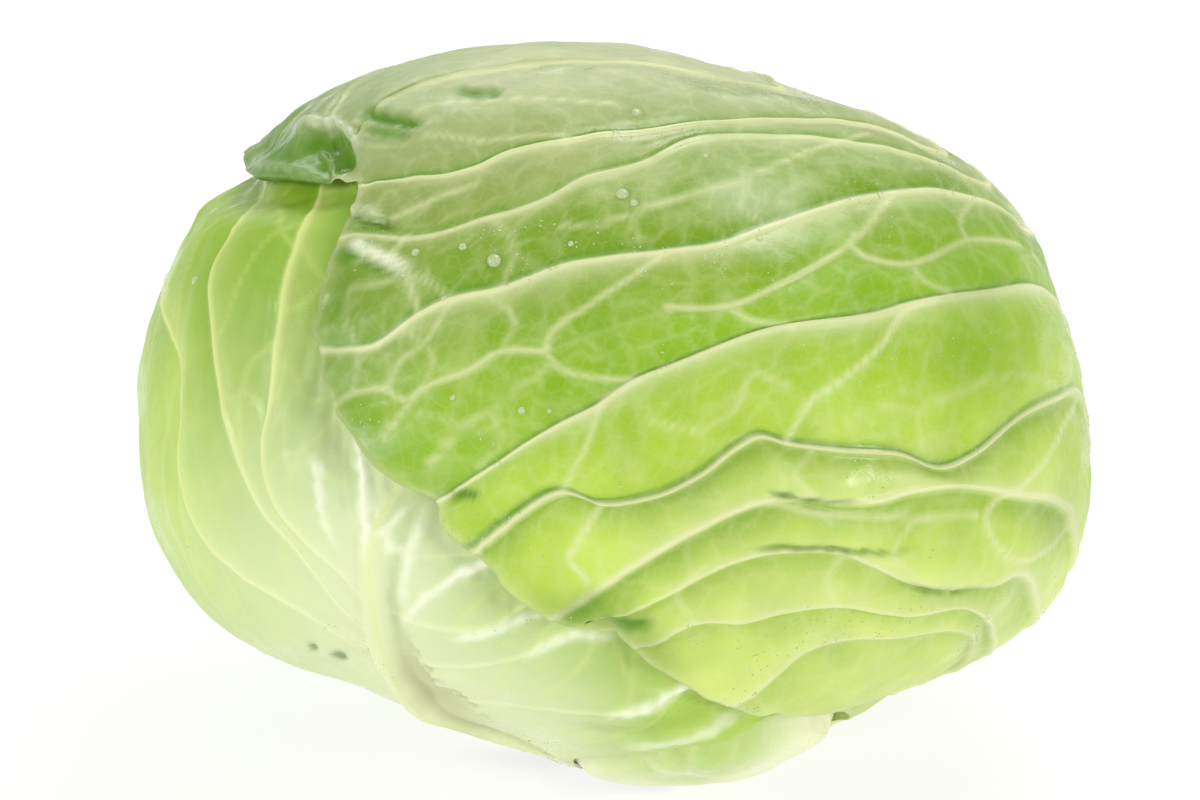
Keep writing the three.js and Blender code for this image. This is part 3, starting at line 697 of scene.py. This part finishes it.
def rib_relief(leaf, grid):
    """The ribs and the slopes and swells between them: the relief, how far it sinks under the
    leaf's level, and the measures that the colours need."""
    share = grid.share
    low = np.minimum(np.floor(grid.rows).astype(int), leaf["rows"] - 1)
    t = (grid.rows - low)[:, None]
    at_ribs = leaf_ways(leaf, range(leaf["rows"] + 1), grid.sides)
    apart = np.linalg.norm(at_ribs[1:] - at_ribs[:-1], axis=-1)[low] * SIZE
    below = t * apart
    above = (1 - t) * apart
    strengths = np.array([
        np.where(grid.sides < 0, a[2], b[2]) for a, b in zip(leaf["left_ribs"], leaf["right_ribs"])])
    lower, upper = strengths[low], strengths[low + 1]
    off_midrib = smooth((share - 0.1) / 0.25)
    puffed = (low[:, None] + 1 >= leaf["puffed"]) * off_midrib
    steep = leaf["drop"] * off_midrib * (1 - puffed)

    bulge = leaf["swell"] * np.sin(math.pi * t) ** 0.8 * smooth(apart / 12)
    level = BETWEEN - 0.2 * puffed - steep * upper * t ** 1.5 + bulge
    width = leaf["crest"] * (1.2 - 0.4 * share)
    crest_low = bell(below / width, 1 - 0.4 * puffed)
    crest_up = bell(above, width)
    least, more = ON_RIB
    swell = level + (least + more * lower - level) * crest_low + (least + more * upper - level) * crest_up
    merge = smooth(apart / 6) * smooth(share / 0.05)
    relief = (leaf["tall"] - BLADE) * (swell * merge + 0.6 * (1 - merge)) * (1 - 0.3 * share)
    puff = PUFF * np.sqrt(t) * (1 - t) * smooth(apart / 16) - 0.35 * lower * (1 - smooth(below / 2.5))
    relief += puffed * puff * merge * (1 - np.maximum(crest_low, crest_up))
    sink = 0.9 * steep * upper * t ** 2 * (1 - crest_up) * merge * (1 - 0.4 * share)
    return relief, SimpleNamespace(
        sink=sink, merge=merge, below=below, above=above, lower=lower, upper=upper, steep=steep,
        puffed=puffed, crest_low=crest_low, crest_up=crest_up)


def fine_veins(leaf, layer, grid):
    """Finer branches, the net's walls, and how both stand out from the pillows between them."""
    branch, gap = crests(branch_lines(leaf, layer), grid.ways, BRANCH_WIDTH)
    if leaf["name"] == RIGHT:
        drawn, drawn_gap = crests(BRANCHES, grid.ways, BRANCH_WIDTH)
        branch = np.maximum(branch, drawn)
        gap = np.minimum(gap, drawn_gap)
    cell = net(grid.ways, CELL, 100 + layer)
    wall = bell(cell, WALL_WIDTH)
    relief = 0.45 * branch - 0.35 * np.exp(-gap / 3) + 0.05 * wall - 0.15 * np.exp(-cell / 1.8)
    return branch, wall, relief


def midrib_relief(leaf, grid):
    """The midrib's height, the hollow that it lies in, and the measures that the colours need."""
    along = grid.along
    taper = 1 - 0.7 * smooth(along * 1.2)
    off = crests([(1, leaf["midrib"])], grid.ways, 1)[1]
    hollow = 1.2 * leaf["stalk"] * bell(off, HOLLOW) * smooth((0.5 - along) / 0.3)
    top = np.clip(1 - (off / (MIDRIB * taper)) ** 2, 0, 1) ** 0.8
    skirt = bell(off, SKIRT * taper)
    ridge = leaf["stalk"] * taper * (3 * top + 0.8 * skirt) * grid.is_open * smooth((along - 0.08) / 0.2)
    return SimpleNamespace(off=off, taper=taper, top=top, skirt=skirt, ridge=ridge, hollow=hollow)


def torn_foot(grid):
    """How high the front leaf's right half stands along its torn foot, and how shaded it is there."""
    x, y, z = parts(grid.points)
    gap, signed, within = beside(TORN, x, y)
    above = smooth((signed + 0.6 * ripple(grid.points, 3.2, 7)) / 1.2)
    here = np.where(z > -30, smooth((6.5 - gap) / 4), 0) * (grid.sides >= 0) * within
    return here * (1.7 * above - 0.9), here * (1 - above)


def edge_lift(layer, grid):
    """How far the margin lifts from the leaf below it, less how far it tucks in by the stem."""
    curl = 0.9 + waves(grid.points, CURL, layer)
    lift = grid.share ** EDGE * np.clip(curl, 0.1, 3) * grid.inland * (0.35 + 0.65 * grid.is_open)
    lift *= np.where(grid.sides < 0, 1.1, 0.3) * smooth((grid.from_stem - 36) / 20)
    root = 1 - smooth((grid.from_stem - LEAF_ROOT) / ROOT_REACH)
    tuck = 0.85 * GAP * grid.thin * grid.share ** EDGE * smooth((70 - grid.from_stem) / 20)
    return lift - (tuck + ROOT_TUCK * root)


def paleness(leaf, grid, midrib):
    """How pale the leaf is towards its foot and its midrib, or round the front leaf's stalk, and
    how shaded it is in the groove beside that stalk."""
    if leaf["name"] == FRONT:
        x, y, z = parts(grid.points)
        on_right = grid.sides > 0
        away = beside(STALK, x, y)[0] * np.where(on_right, 1.75, 0.88)
        pale = np.where(z > -40, 0.78 * np.exp(-(away / 40) ** 2.2), 0)
        groove = bell(midrib.off - (MIDRIB + GROOVE) * midrib.taper, 1.1) * smooth((0.5 - grid.along) / 0.2)
        return pale, groove * np.where(on_right, 0.6, 0.25) * (z > -40)
    reach, breadth = leaf["bare"]
    near_foot = smooth((reach - grid.along) / reach / 0.65)
    near_rib = smooth((breadth - midrib.off) / breadth / 0.8) * smooth((0.9 - grid.along) / 0.5)
    return np.maximum(near_foot, near_rib), 0


def beside_ribs(grid, ribs):
    """Painted shade beside the ribs, as deeper green and a thin dark line in the crease by a rib, and how
    pale the leaf is over them: paler tissue by the ribs, partly painted light.
    """
    painted_rib_shade = (np.exp(-ribs.above / 9) * ribs.upper * ribs.steep * (1 - ribs.crest_up)
             + 0.7 * bell(ribs.below - 0.9, 0.6) * ribs.lower * ribs.puffed
             + 0.35 * np.exp(-ribs.below / 3) * ribs.lower * ribs.puffed)
    over = (np.exp(-ribs.below / 5) * ribs.lower * (1 - ribs.puffed)
            + 1.7 * np.exp(-ribs.above / 2.4) * ribs.upper * ribs.puffed)
    at_edge = 1 - 0.75 * smooth((grid.share - 0.82) / 0.14) * smooth(grid.along / 0.4)
    return np.clip(painted_rib_shade * ribs.merge, 0, 1), np.clip(over * ribs.merge * at_edge, 0, 1)


def leaf_surface(leaf, layer):
    """Outer and inner faces on a fine grid, with the values that its material needs."""
    grid = leaf_grid(leaf, layer)
    share, points, ways, thin = grid.share, grid.points, grid.ways, grid.thin
    relief, ribs = rib_relief(leaf, grid)
    branch, wall, fine_relief = fine_veins(leaf, layer, grid)
    relief += ribs.merge * fine_relief
    relief += waves(points, ROLLING, layer)
    relief *= 1 - share ** 10 * 0.7
    midrib = midrib_relief(leaf, grid)
    relief -= midrib.hollow

    height, deep_green_and_shade, pale, brown = marks(leaf["name"], points)
    bare, shade = paleness(leaf, grid, midrib)
    if leaf["name"] == FRONT:
        torn, torn_shade = torn_foot(grid)
        height += torn
        shade = torn_shade + shade

    radius = head_radius(ways) - grid.depth - leaf["tall"] * thin + edge_lift(layer, grid) - ribs.sink
    radius += np.minimum(height, 0)
    blade = np.maximum(BLADE + relief, LEAST_THICK) * (1 - EDGE_THINNER * share ** SHARP_EDGE) * thin
    thick = blade + midrib.ridge + np.maximum(height, 0)
    bottom = CENTRE_HEIGHT / np.maximum(-(ways @ UP), 0.1)
    outer = ways * np.minimum(radius + thick, bottom)[..., None]
    inner_radius = np.minimum(radius + EDGE_THINNER * share ** SHARP_EDGE, bottom - FLAT_THICK)
    inner = ways * inner_radius[..., None]

    painted_rib_shade, over = beside_ribs(grid, ribs)
    vein = np.maximum(ribs.crest_low * ribs.lower, ribs.crest_up * ribs.upper) * ribs.merge
    values = {
        "vein": np.clip(vein, 0, 1),
        "branch": branch * ribs.merge,
        "cell": wall * ribs.merge,
        # painted shade beside the ribs, then paler tissue over them that is partly painted light
        "painted_rib_shade": painted_rib_shade,
        "over": over,
        "midrib": np.maximum(midrib.top, midrib.skirt * 0.4) * (1 - 0.3 * grid.along),
        "rise": grid.along,
        "rim": np.exp(-(1 - share) * grid.wide / np.maximum(share, 0.05) / 0.9) * grid.inland,
        "bare": np.clip(bare, 0, 1),
        # painted shade in folds, pockets and slits, and plainly darker green elsewhere
        "deep_green_and_shade": np.clip(deep_green_and_shade, 0, 1),
        "pale": np.clip(pale, 0, 1),
        "brown": np.clip(brown, 0, 1),
        "shade": shade,
        "patch": 0.5 + waves(points, PATCHES),
        "damp": smooth(damp(points) * 1.6 - 0.3),
    }
    return outer, inner, {key: np.broadcast_to(value, ways.shape[:2]) for key, value in values.items()}


def to_cad(points):
    """Points from the head's frame in millimetres to the CAD frame in metres."""
    turn = (90 - LEAN) * DEG
    x, y, z = parts(points)
    return np.stack([
        x,
        y * math.cos(turn) - z * math.sin(turn),
        y * math.sin(turn) + z * math.cos(turn) + CENTRE_HEIGHT,
    ], -1) * MM


def put_in_scene(name, data):
    """A new object with some data, in the scene."""
    piece = bpy.data.objects.new(name, data)
    bpy.context.scene.collection.objects.link(piece)
    return piece


def make_object(name, points, faces, values=None):
    """A smooth piece from points in the head's frame, with the values that its material reads."""
    mesh = bpy.data.meshes.new(name)
    mesh.from_pydata(to_cad(points).tolist(), [], faces)
    mesh.polygons.foreach_set("use_smooth", np.ones(len(mesh.polygons), bool))
    for key, value in (values or {}).items():
        attribute = mesh.attributes.new(key, "FLOAT", "POINT")
        attribute.data.foreach_set("value", np.asarray(value, np.float32))
    mesh.update()
    mesh.validate()
    return put_in_scene(name, mesh)


def leaf_mesh(name, outer, inner, values):
    """A closed leaf: the fine outer face, a coarse inner one and the rim between them."""
    rows, columns = outer.shape[:2]
    number = np.arange(rows * columns).reshape(rows, columns)
    a, b, c, d = number[:-1, :-1], number[:-1, 1:], number[1:, 1:], number[1:, :-1]
    faces = np.stack([a, b, c, d], -1).reshape(-1, 4).tolist()

    step = BACK_STEP
    keep = np.zeros((rows, columns), bool)
    keep[::step, ::step] = True
    keep[0], keep[-1], keep[:, 0], keep[:, -1] = True, True, True, True
    back = np.full((rows, columns), -1)
    back[keep] = rows * columns + np.arange(keep.sum())
    for i in range(0, rows - 1, step):
        for j in range(0, columns - 1, step):
            square = [(i + k, j) for k in range(step)] + [(i + step, j + k) for k in range(step)]
            square += [(i + step - k, j + step) for k in range(step)]
            square += [(i, j + step - k) for k in range(step)]
            faces.append([int(back[place]) for place in square if keep[place]])

    border = [(0, j) for j in range(columns - 1)] + [(i, columns - 1) for i in range(rows - 1)]
    border += [(rows - 1, j) for j in range(columns - 1, 0, -1)] + [(i, 0) for i in range(rows - 1, 0, -1)]
    for start, end in zip(border, border[1:] + border[:1]):
        faces.append([int(number[start]), int(back[start]), int(back[end]), int(number[end])])

    points = np.vstack([outer.reshape(-1, 3), inner[keep]])
    both = {key: np.concatenate([value.ravel(), value[keep]]) for key, value in values.items()}
    return make_object(name, points, faces, both)


# ---------------------------------------------------------------- materials
def linear(colour):
    """A hex colour as linear RGBA."""
    levels = [int(colour[i:i + 2], 16) / 255 for i in (0, 2, 4)]
    return [p / 12.92 if p <= 0.04045 else ((p + 0.055) / 1.055) ** 2.4 for p in levels] + [1.0]


class Nodes:
    """A short way to write a node tree."""

    def __init__(self, name):
        self.material = bpy.data.materials.new(name)
        self.material.use_nodes = True
        self.tree = self.material.node_tree
        self.shader = self.tree.nodes["Principled BSDF"]

    def add(self, kind, inputs=None, **settings):
        node = self.tree.nodes.new(kind)
        for key, value in settings.items():
            setattr(node, key, value)
        for key, value in (inputs or {}).items():
            self.set(node.inputs[key], value)
        return node

    def set(self, socket, value):
        if isinstance(value, bpy.types.NodeSocket):
            self.tree.links.new(value, socket)
        else:
            socket.default_value = value

    def attribute(self, name):
        return self.add("ShaderNodeAttribute", attribute_name=name).outputs["Fac"]

    def math(self, operation, *values):
        node = self.add("ShaderNodeMath", operation=operation)
        for socket, value in zip(node.inputs, values):
            self.set(socket, value)
        return node.outputs[0]

    def mix(self, factor, a, b):
        node = self.add("ShaderNodeMix", data_type="RGBA", clamp_factor=True)
        self.set(node.inputs["Factor"], factor)
        self.set(node.inputs[6], a)
        self.set(node.inputs[7], b)
        return node.outputs[2]

    def span(self, value, low, high, to_low=0.0, to_high=1.0):
        node = self.add("ShaderNodeMapRange", interpolation_type="SMOOTHSTEP")
        for key, number in zip((0, 1, 2, 3, 4), (value, low, high, to_low, to_high)):
            self.set(node.inputs[key], number)
        return node.outputs[0]

    def noise(self, place, scale, detail=3.0, rough=0.5):
        inputs = {"Vector": place, "Scale": scale, "Detail": detail, "Roughness": rough}
        return self.add("ShaderNodeTexNoise", inputs).outputs["Fac"]

    def colours(self, value, stops):
        """A smooth run through colours at places from 0 to 1."""
        node = self.add("ShaderNodeValToRGB", {"Fac": value})
        ramp = node.color_ramp
        ramp.interpolation = "EASE"
        for k, (place, colour) in enumerate(stops):
            element = ramp.elements[k] if k < 2 else ramp.elements.new(place)
            element.position = place
            element.color = linear(colour)
        return node.outputs["Color"]


def leaf_material(name, greens, deep, vein, white, net_strength):
    """A waxy leaf: green panels with a fine net of veins, paler ribs and a pale base, with painted shade
    beside its ribs and in its folds.
    The greens run from base to tip."""
    n = Nodes(name)
    place = n.add("ShaderNodeTexCoord").outputs["Object"]
    cells = n.add("ShaderNodeTexVoronoi", {"Vector": place, "Scale": 280.0}, feature="DISTANCE_TO_EDGE")
    fine = n.span(cells.outputs["Distance"], 0.0, 0.1, 1.0, 0.0)
    grain = n.noise(place, 420.0, 3.0)
    mottle = n.span(n.noise(place, 130.0, 4.0, 0.6), 0.35, 0.75, 0.0, 0.08)
    deep, vein, white = linear(deep), linear(vein), linear(white)
    bare = n.attribute("bare")

    # from the panels up: how much of each colour goes over what is there
    colour = n.colours(n.attribute("rise"), greens)
    for amount, share, over in (
            (n.attribute("patch"), 0.3, deep),
            (mottle, 1.0, vein),
            # painted shade beside the ribs, then paler tissue over them that is partly painted light
            (n.attribute("painted_rib_shade"), 1.1, deep),
            (n.attribute("over"), 0.5, vein),
            (bare, 1.0, white),
            (n.attribute("cell"), 0.14 * net_strength, vein),
            (fine, 0.06 * net_strength, vein),
            (n.attribute("branch"), 0.6, vein),
            (n.attribute("vein"), 0.9, n.mix(bare, vein, white)),
            (n.attribute("midrib"), 1.0, n.mix(0.35, white, vein)),
            # painted shade in folds, pockets and slits, and plainly darker green elsewhere
            (n.attribute("deep_green_and_shade"), 1.0, linear("588602")),
            (n.attribute("rim"), 0.4, vein),
            (n.attribute("pale"), 1.0, linear("f0f3d6")),
            (n.attribute("shade"), 0.7, linear("b9bb88")),
            (n.attribute("brown"), 1.0, linear("6b8820"))):
        colour = n.mix(n.math("MULTIPLY", amount, share), colour, over)
    n.set(n.shader.inputs["Base Color"], colour)

    rough = n.span(grain, 0.3, 0.7, 0.36, 0.5)
    damp = n.math("MULTIPLY", n.attribute("damp"), 0.16)
    n.set(n.shader.inputs["Roughness"], n.math("SUBTRACT", rough, damp))
    n.shader.inputs["Specular IOR Level"].default_value = 0.4

    height = n.math("ADD", n.math("MULTIPLY", fine, 0.07), n.math("MULTIPLY", grain, 0.9))
    bump = n.add("ShaderNodeBump", {"Height": height, "Strength": 0.5, "Distance": 0.0002})
    n.set(n.shader.inputs["Normal"], bump.outputs["Normal"])
    return n.material


def plain_material(name, values):
    """A material of constant values only."""
    n = Nodes(name)
    for key, value in values.items():
        n.shader.inputs[key].default_value = value
    return n.material


def stem_material():
    """Pale pith inside a darker skin, spotted with brown."""
    n = Nodes("cut_stem")
    place = n.add("ShaderNodeTexCoord").outputs["Object"]
    radial = n.attribute("radial")
    rings = n.noise(place, 300.0, 4.0, 0.6)
    face = n.mix(n.span(radial, 0.5, 0.95), linear("e6e2c4"), linear("b9b98a"))
    face = n.mix(n.math("MULTIPLY", n.span(rings, 0.45, 0.7), 0.4), face, linear("a08a5c"))
    n.set(n.shader.inputs["Base Color"], face)
    n.shader.inputs["Roughness"].default_value = 0.6
    bump = n.add("ShaderNodeBump", {"Height": rings, "Strength": 0.5, "Distance": 0.0006})
    n.set(n.shader.inputs["Normal"], bump.outputs["Normal"])
    return n.material


INNER_GREENS = [(0.0, "d2e09a"), (0.35, "bcd57a"), (0.7, "a3c75f"), (1.0, "94b955")]
# the outer leaf greys and pales towards its tip: waxy bloom, and a painted sheen where light glances off
# the top of the head
RIGHT_GREENS = [(0.0, "d6e08c"), (0.28, "d6e86c"), (0.42, "cee850"), (0.55, "8eb80a"), (0.68, "769a0e"),
                (0.78, "909f50"), (0.88, "b8bf90"), (1.0, "5c8818")]
FRONT_GREENS = [(0.0, "b4c850"), (0.3, "aece44"), (0.55, "8cb41a"), (0.75, "7cac0a"), (1.0, "74a408")]
VEIN = "e2e4b0"
WHITE = "ecf0c4"

# Slot, then greens from base to tip, deep green (for its patches, and for the painted shade beside its
# ribs), veins, pale base, and how clear the fine net is.
INNER_LOOK = ("leaf_inner", (INNER_GREENS, "98b850", VEIN, WHITE, 0.5))
LOOKS = {
    RIGHT: ("leaf_outer", (RIGHT_GREENS, "5f9012", VEIN, WHITE, 1.0)),
    FRONT: ("leaf_front", (FRONT_GREENS, "689c12", "d6e288", "e6ebc4", 0.3)),
    "leaf_4_back": ("leaf_inner", (INNER_GREENS, "86ab45", VEIN, WHITE, 0.7)),
    "leaf_3_right_front": INNER_LOOK,
    "leaf_2_left": INNER_LOOK,
    "leaf_1_right_back": INNER_LOOK,
    "heart": ("heart", ([(0.0, "d6e2a0"), (1.0, "c6d888")], "b4c86c", "e3ebb4", "f2f4da", 0.4)),
}


def dress(piece, node, material):
    """Gives a piece its material and the body that it belongs to, and hides the CAD solid that it stands in
    for.
    """
    piece.data.materials.append(material)
    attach(piece, "root")
    if node:
        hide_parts(node)


def dress_leaf(piece, node):
    """The same for a leaf or the heart, by its solid's name."""
    slot, look = LOOKS[node]
    dress(piece, node, leaf_material(node + "_skin", *look))


for each in LEAVES:
    lay_out(each)

surfaces = {}
for number, each in enumerate(LEAVES):
    outer, inner, values = leaf_surface(each, number)
    surfaces[each["name"]] = outer
    dress_leaf(leaf_mesh("fine_" + each["name"], outer, inner, values), each["name"])


# ---------------------------------------------------------------- heart and stem
def round_stem(count):
    """Angles evenly round the stem, and the directions out from its middle at them."""
    turn = np.linspace(0, 2 * math.pi, count, endpoint=False)
    return turn, np.cos(turn)[:, None] * STEM_FRONT + np.sin(turn)[:, None] * STEM_RIGHT


def ring_numbers(rings, count):
    """Numbers of the points in rings of points, and of the next point round in each ring."""
    number = np.arange(rings * count).reshape(rings, count)
    return number, np.roll(number, -1, axis=1)


def heart():
    """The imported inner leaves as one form, with the edges and midribs of the outermost three."""
    rows, columns = 96, 192
    polar = np.linspace(0, math.pi, rows + 1)[1:-1, None, None]
    ways = np.cos(polar) * STEM_WAY + np.sin(polar) * round_stem(columns)[1]
    ways = np.vstack([ways.reshape(-1, 3), [STEM_WAY, -STEM_WAY]])
    steps = np.zeros(len(ways))
    ribs = np.zeros(len(ways))
    for azimuth in (-132, 90, -48):
        inner_leaf = even_leaf(azimuth, 0.9, 150)
        lay_out(inner_leaf)
        steps += 1.6 * (1 - smooth(distance_outside(inner_leaf, ways) / 1.5))
        middle = inner_leaf["middle"].share(np.linspace(0, 1, 60))
        off = np.min(np.linalg.norm(ways[:, None] - middle[None], axis=-1), axis=1) * HEART_SIZE
        ribs = np.maximum(ribs, bell(off, 4))
    seat = (STEM_TOP - 0.5) / np.maximum(ways @ STEM_WAY, 0.1)
    radius = head_radius(ways) - HEART_DEPTH + steps + ribs + 0.4 * ripple(ways * HEART_SIZE, 18, 5)
    points = ways * np.minimum(radius, seat)[:, None]

    number, after = ring_numbers(rows - 1, columns)
    faces = np.stack([number[:-1], number[1:], after[1:], after[:-1]], -1).reshape(-1, 4).tolist()
    first, last = len(ways) - 2, len(ways) - 1
    faces += [[first, int(a), int(b)] for a, b in zip(number[0], after[0])]
    faces += [[last, int(b), int(a)] for a, b in zip(number[-1], after[-1])]
    same = np.ones(len(ways))
    values = {"vein": ribs * 0.6, "rise": same * 0.4, "patch": same * 0.3}
    dress_leaf(make_object("fine_heart", points, faces, values), "heart")


def stem():
    """The cut stem: its top in the heart, its side, the round rim of the cut, and the cut face,
    a little hollow."""
    count = 96
    wide = math.tan(STEM_ANGLE * DEG)
    outer = STEM_CUT * wide
    side = np.linspace(STEM_TOP + 1, STEM_CUT - 1.6, 16)
    face = np.linspace(outer - 3, 0.3, 14)
    profile = [(0.01, STEM_TOP), (STEM_TOP * wide, STEM_TOP)]
    profile += [(h * wide - 0.05, h) for h in side]
    profile += [(outer - 0.5, STEM_CUT - 0.8), (outer - 1.2, STEM_CUT - 0.2), (outer - 2, STEM_CUT)]
    profile += [(r, STEM_CUT - 0.3 - 0.9 * smooth((outer - 3 - r) / 6)) for r in face]
    cut_start = len(profile) - len(face) - 1
    turn, sideways = round_stem(count)
    points = []
    for i, (r, h) in enumerate(profile):
        rough = 1 + 0.012 * np.sin(turn * 7 + 1) + 0.008 * np.sin(turn * 13) * (i > 1)
        dip = 0.25 * np.sin(turn * 3 + r) * (i >= cut_start)
        points.append(STEM_WAY * (h + dip)[:, None] + r * rough[:, None] * sideways)

    number, after = ring_numbers(len(profile), count)
    faces = np.stack([number[:-1], after[:-1], after[1:], number[1:]], -1).reshape(-1, 4).tolist()
    faces += [number[0][::-1].tolist(), number[-1].tolist()]
    radial = np.repeat([r / outer for r, _ in profile], count)
    piece = make_object("fine_stem", np.vstack(points), faces, {"radial": radial})
    dress(piece, "stem", stem_material())


heart()
stem()


# ---------------------------------------------------------------- water
# Drops that stand out: place in the outline's plane and radius in mm.
DROPS = [
    ((-26, 33), 1.6), ((5, 66), 1.3), ((-44, 35), 1.0), ((-33, 35.5), 0.9), ((-37, 25), 0.8),
    ((-20.5, 0), 0.9), ((-92.5, 29), 1.0), ((2, 48), 1.5), ((4.5, 46), 1.0), ((32, 38), 0.8),
    ((-14, 0), 0.6), ((20, 56), 0.7), ((-36, 3), 0.7), ((-46, 30), 0.6), ((-10, 37), 0.7),
]


def bead(centre, normal, radius, detail):
    """A drop on a surface: a flattened dome with its foot a little under the skin."""
    side = unit(np.cross(normal, [0.3, 0.2, 0.9]))
    other = np.cross(normal, side)
    rings, count = detail
    points = [centre + normal * radius * 0.55]
    for ring in range(1, rings + 1):
        lean = ring / rings * math.pi * 0.56
        for k in range(count):
            turn = 2 * math.pi * (k + 0.5 * (ring % 2)) / count
            flat = (side * math.cos(turn) + other * math.sin(turn)) * math.sin(lean)
            points.append(centre + radius * (flat + normal * (0.7 * math.cos(lean) - 0.15)))
    faces = [[0, 1 + k, 1 + (k + 1) % count] for k in range(count)]
    for ring in range(rings - 1):
        a, b = 1 + ring * count, 1 + (ring + 1) * count
        faces += [[a + k, b + k, b + (k + 1) % count, a + (k + 1) % count] for k in range(count)]
    last = 1 + (rings - 1) * count
    faces.append([last + k for k in reversed(range(count))])
    return points, faces


def water():
    """The drops that stand out, then fine ones scattered where the two front leaves are damp."""
    rng = np.random.default_rng(11)
    points, faces = [], []

    def put(surface, i, j, radius, detail):
        i = min(max(i, 1), surface.shape[0] - 2)
        j = min(max(j, 1), surface.shape[1] - 2)
        across = surface[i, j + 1] - surface[i, j - 1]
        along = surface[i + 1, j] - surface[i - 1, j]
        normal = unit(np.cross(across, along))
        if normal @ surface[i, j] < 0:
            normal = -normal
        new_points, new_faces = bead(surface[i, j], normal, radius, detail)
        start = len(points)
        points.extend(new_points)
        faces.extend([[start + k for k in face] for face in new_faces])

    right, left = surfaces[RIGHT], surfaces[FRONT]
    for (x, y), radius in DROPS:
        for surface in (right, left):
            skin_x, skin_y, skin_z = parts(surface)
            gap = np.hypot(skin_x - x, skin_y - y) + np.where(skin_z < 0, 999, 0)
            i, j = np.unravel_index(np.argmin(gap), gap.shape)
            if gap[i, j] < 1.5:
                put(surface, i, j, radius, (6, 20))
                break
    for surface, count in ((right, 1700), (left, 150)):
        x, y, z = parts(surface)
        pocket = (x < -52) & (y > 44)
        chosen = np.argwhere((damp(surface) > 0.55) & (z > -20) & ~pocket)
        for i, j in chosen[rng.integers(0, len(chosen), count)]:
            put(surface, int(i), int(j), float(rng.uniform(0.12, 0.34)), (2, 7))
    piece = make_object("dew_drops", np.array(points), faces)
    dress(piece, None, plain_material("water", {
        "Base Color": (0.8, 0.92, 0.55, 1),
        "Roughness": 0.03,
        "IOR": 1.33,
        "Specular IOR Level": 0.9,
        "Transmission Weight": 0.5,
    }))


water()

# ---------------------------------------------------------------- floor, light and camera
FLOOR_REACH = 6.0
corners = [(x * FLOOR_REACH, y * FLOOR_REACH, 0) for x, y in ((-1, -1), (1, -1), (1, 1), (-1, 1))]
floor = bpy.data.meshes.new("floor")
floor.from_pydata(corners, [], [(0, 1, 2, 3)])
floor_piece = put_in_scene("floor", floor)
floor.materials.append(plain_material("floor", {
    "Base Color": (0.22, 0.22, 0.22, 1),
    "Roughness": 0.9,
    "Specular IOR Level": 0.0,
    "Emission Color": (1, 1, 1, 1),
    "Emission Strength": 0.8,
}))

CENTRE = (0, 0, CENTRE_HEIGHT * MM)
SOFTBOXES = [  # place and size in metres, and watts
    ("softbox_top", (0.5, 0.4, 1.5), (1.0, 0.7), 12),
    ("softbox_back", (0.1, 1.7, 1.1), (1.8, 0.7), 9),
    ("softbox_right", (1.5, -1.3, 0.5), (0.6, 0.6), 13),
    ("softbox_left", (-1.6, -0.8, 0.8), (0.8, 1.0), 14),
    ("softbox_front", (-0.7, -1.8, 0.3), (0.9, 0.9), 5),
]
for name, place, size, watts in SOFTBOXES:
    light = bpy.data.lights.new(name, "AREA")
    light.shape = "RECTANGLE"
    light.size, light.size_y = size
    light.energy = watts
    lamp = put_in_scene(name, light)
    lamp.location = place
    lamp.rotation_euler = (Vector(CENTRE) - Vector(place)).to_track_quat("-Z", "Y").to_euler()

world = bpy.data.worlds.new("studio")
world.use_nodes = True
world.node_tree.nodes["Background"].inputs["Color"].default_value = (1, 1, 1, 1)
world.node_tree.nodes["Background"].inputs["Strength"].default_value = 0.45
bpy.context.scene.world = world
bpy.context.scene.view_settings.view_transform = "Standard"

CAMERA_DISTANCE = 6.0
IMAGE = (1200, 800)
HEAD_CENTRE = (615, 412)  # where the head's centre falls in the image
HEAD_WIDTH = 210 * MM
HEAD_PIXELS = 948  # how wide the head is in the image
PIXEL = HEAD_WIDTH / HEAD_PIXELS  # metres to a pixel at the head's centre
camera = bpy.data.cameras.new("camera")
camera.sensor_fit = "HORIZONTAL"
camera.sensor_width = 36
camera.lens = camera.sensor_width * CAMERA_DISTANCE / (IMAGE[0] * PIXEL)
camera.shift_x = (IMAGE[0] / 2 - HEAD_CENTRE[0]) / IMAGE[0]
camera.shift_y = (HEAD_CENTRE[1] - IMAGE[1] / 2) / IMAGE[0]
camera_piece = put_in_scene("camera", camera)
way_to_camera = Vector((0, -math.cos(LEAN * DEG), math.sin(LEAN * DEG)))
camera_piece.location = Vector(CENTRE) + way_to_camera * CAMERA_DISTANCE
camera_piece.rotation_euler = way_to_camera.to_track_quat("Z", "Y").to_euler()
bpy.context.scene.camera = camera_piece
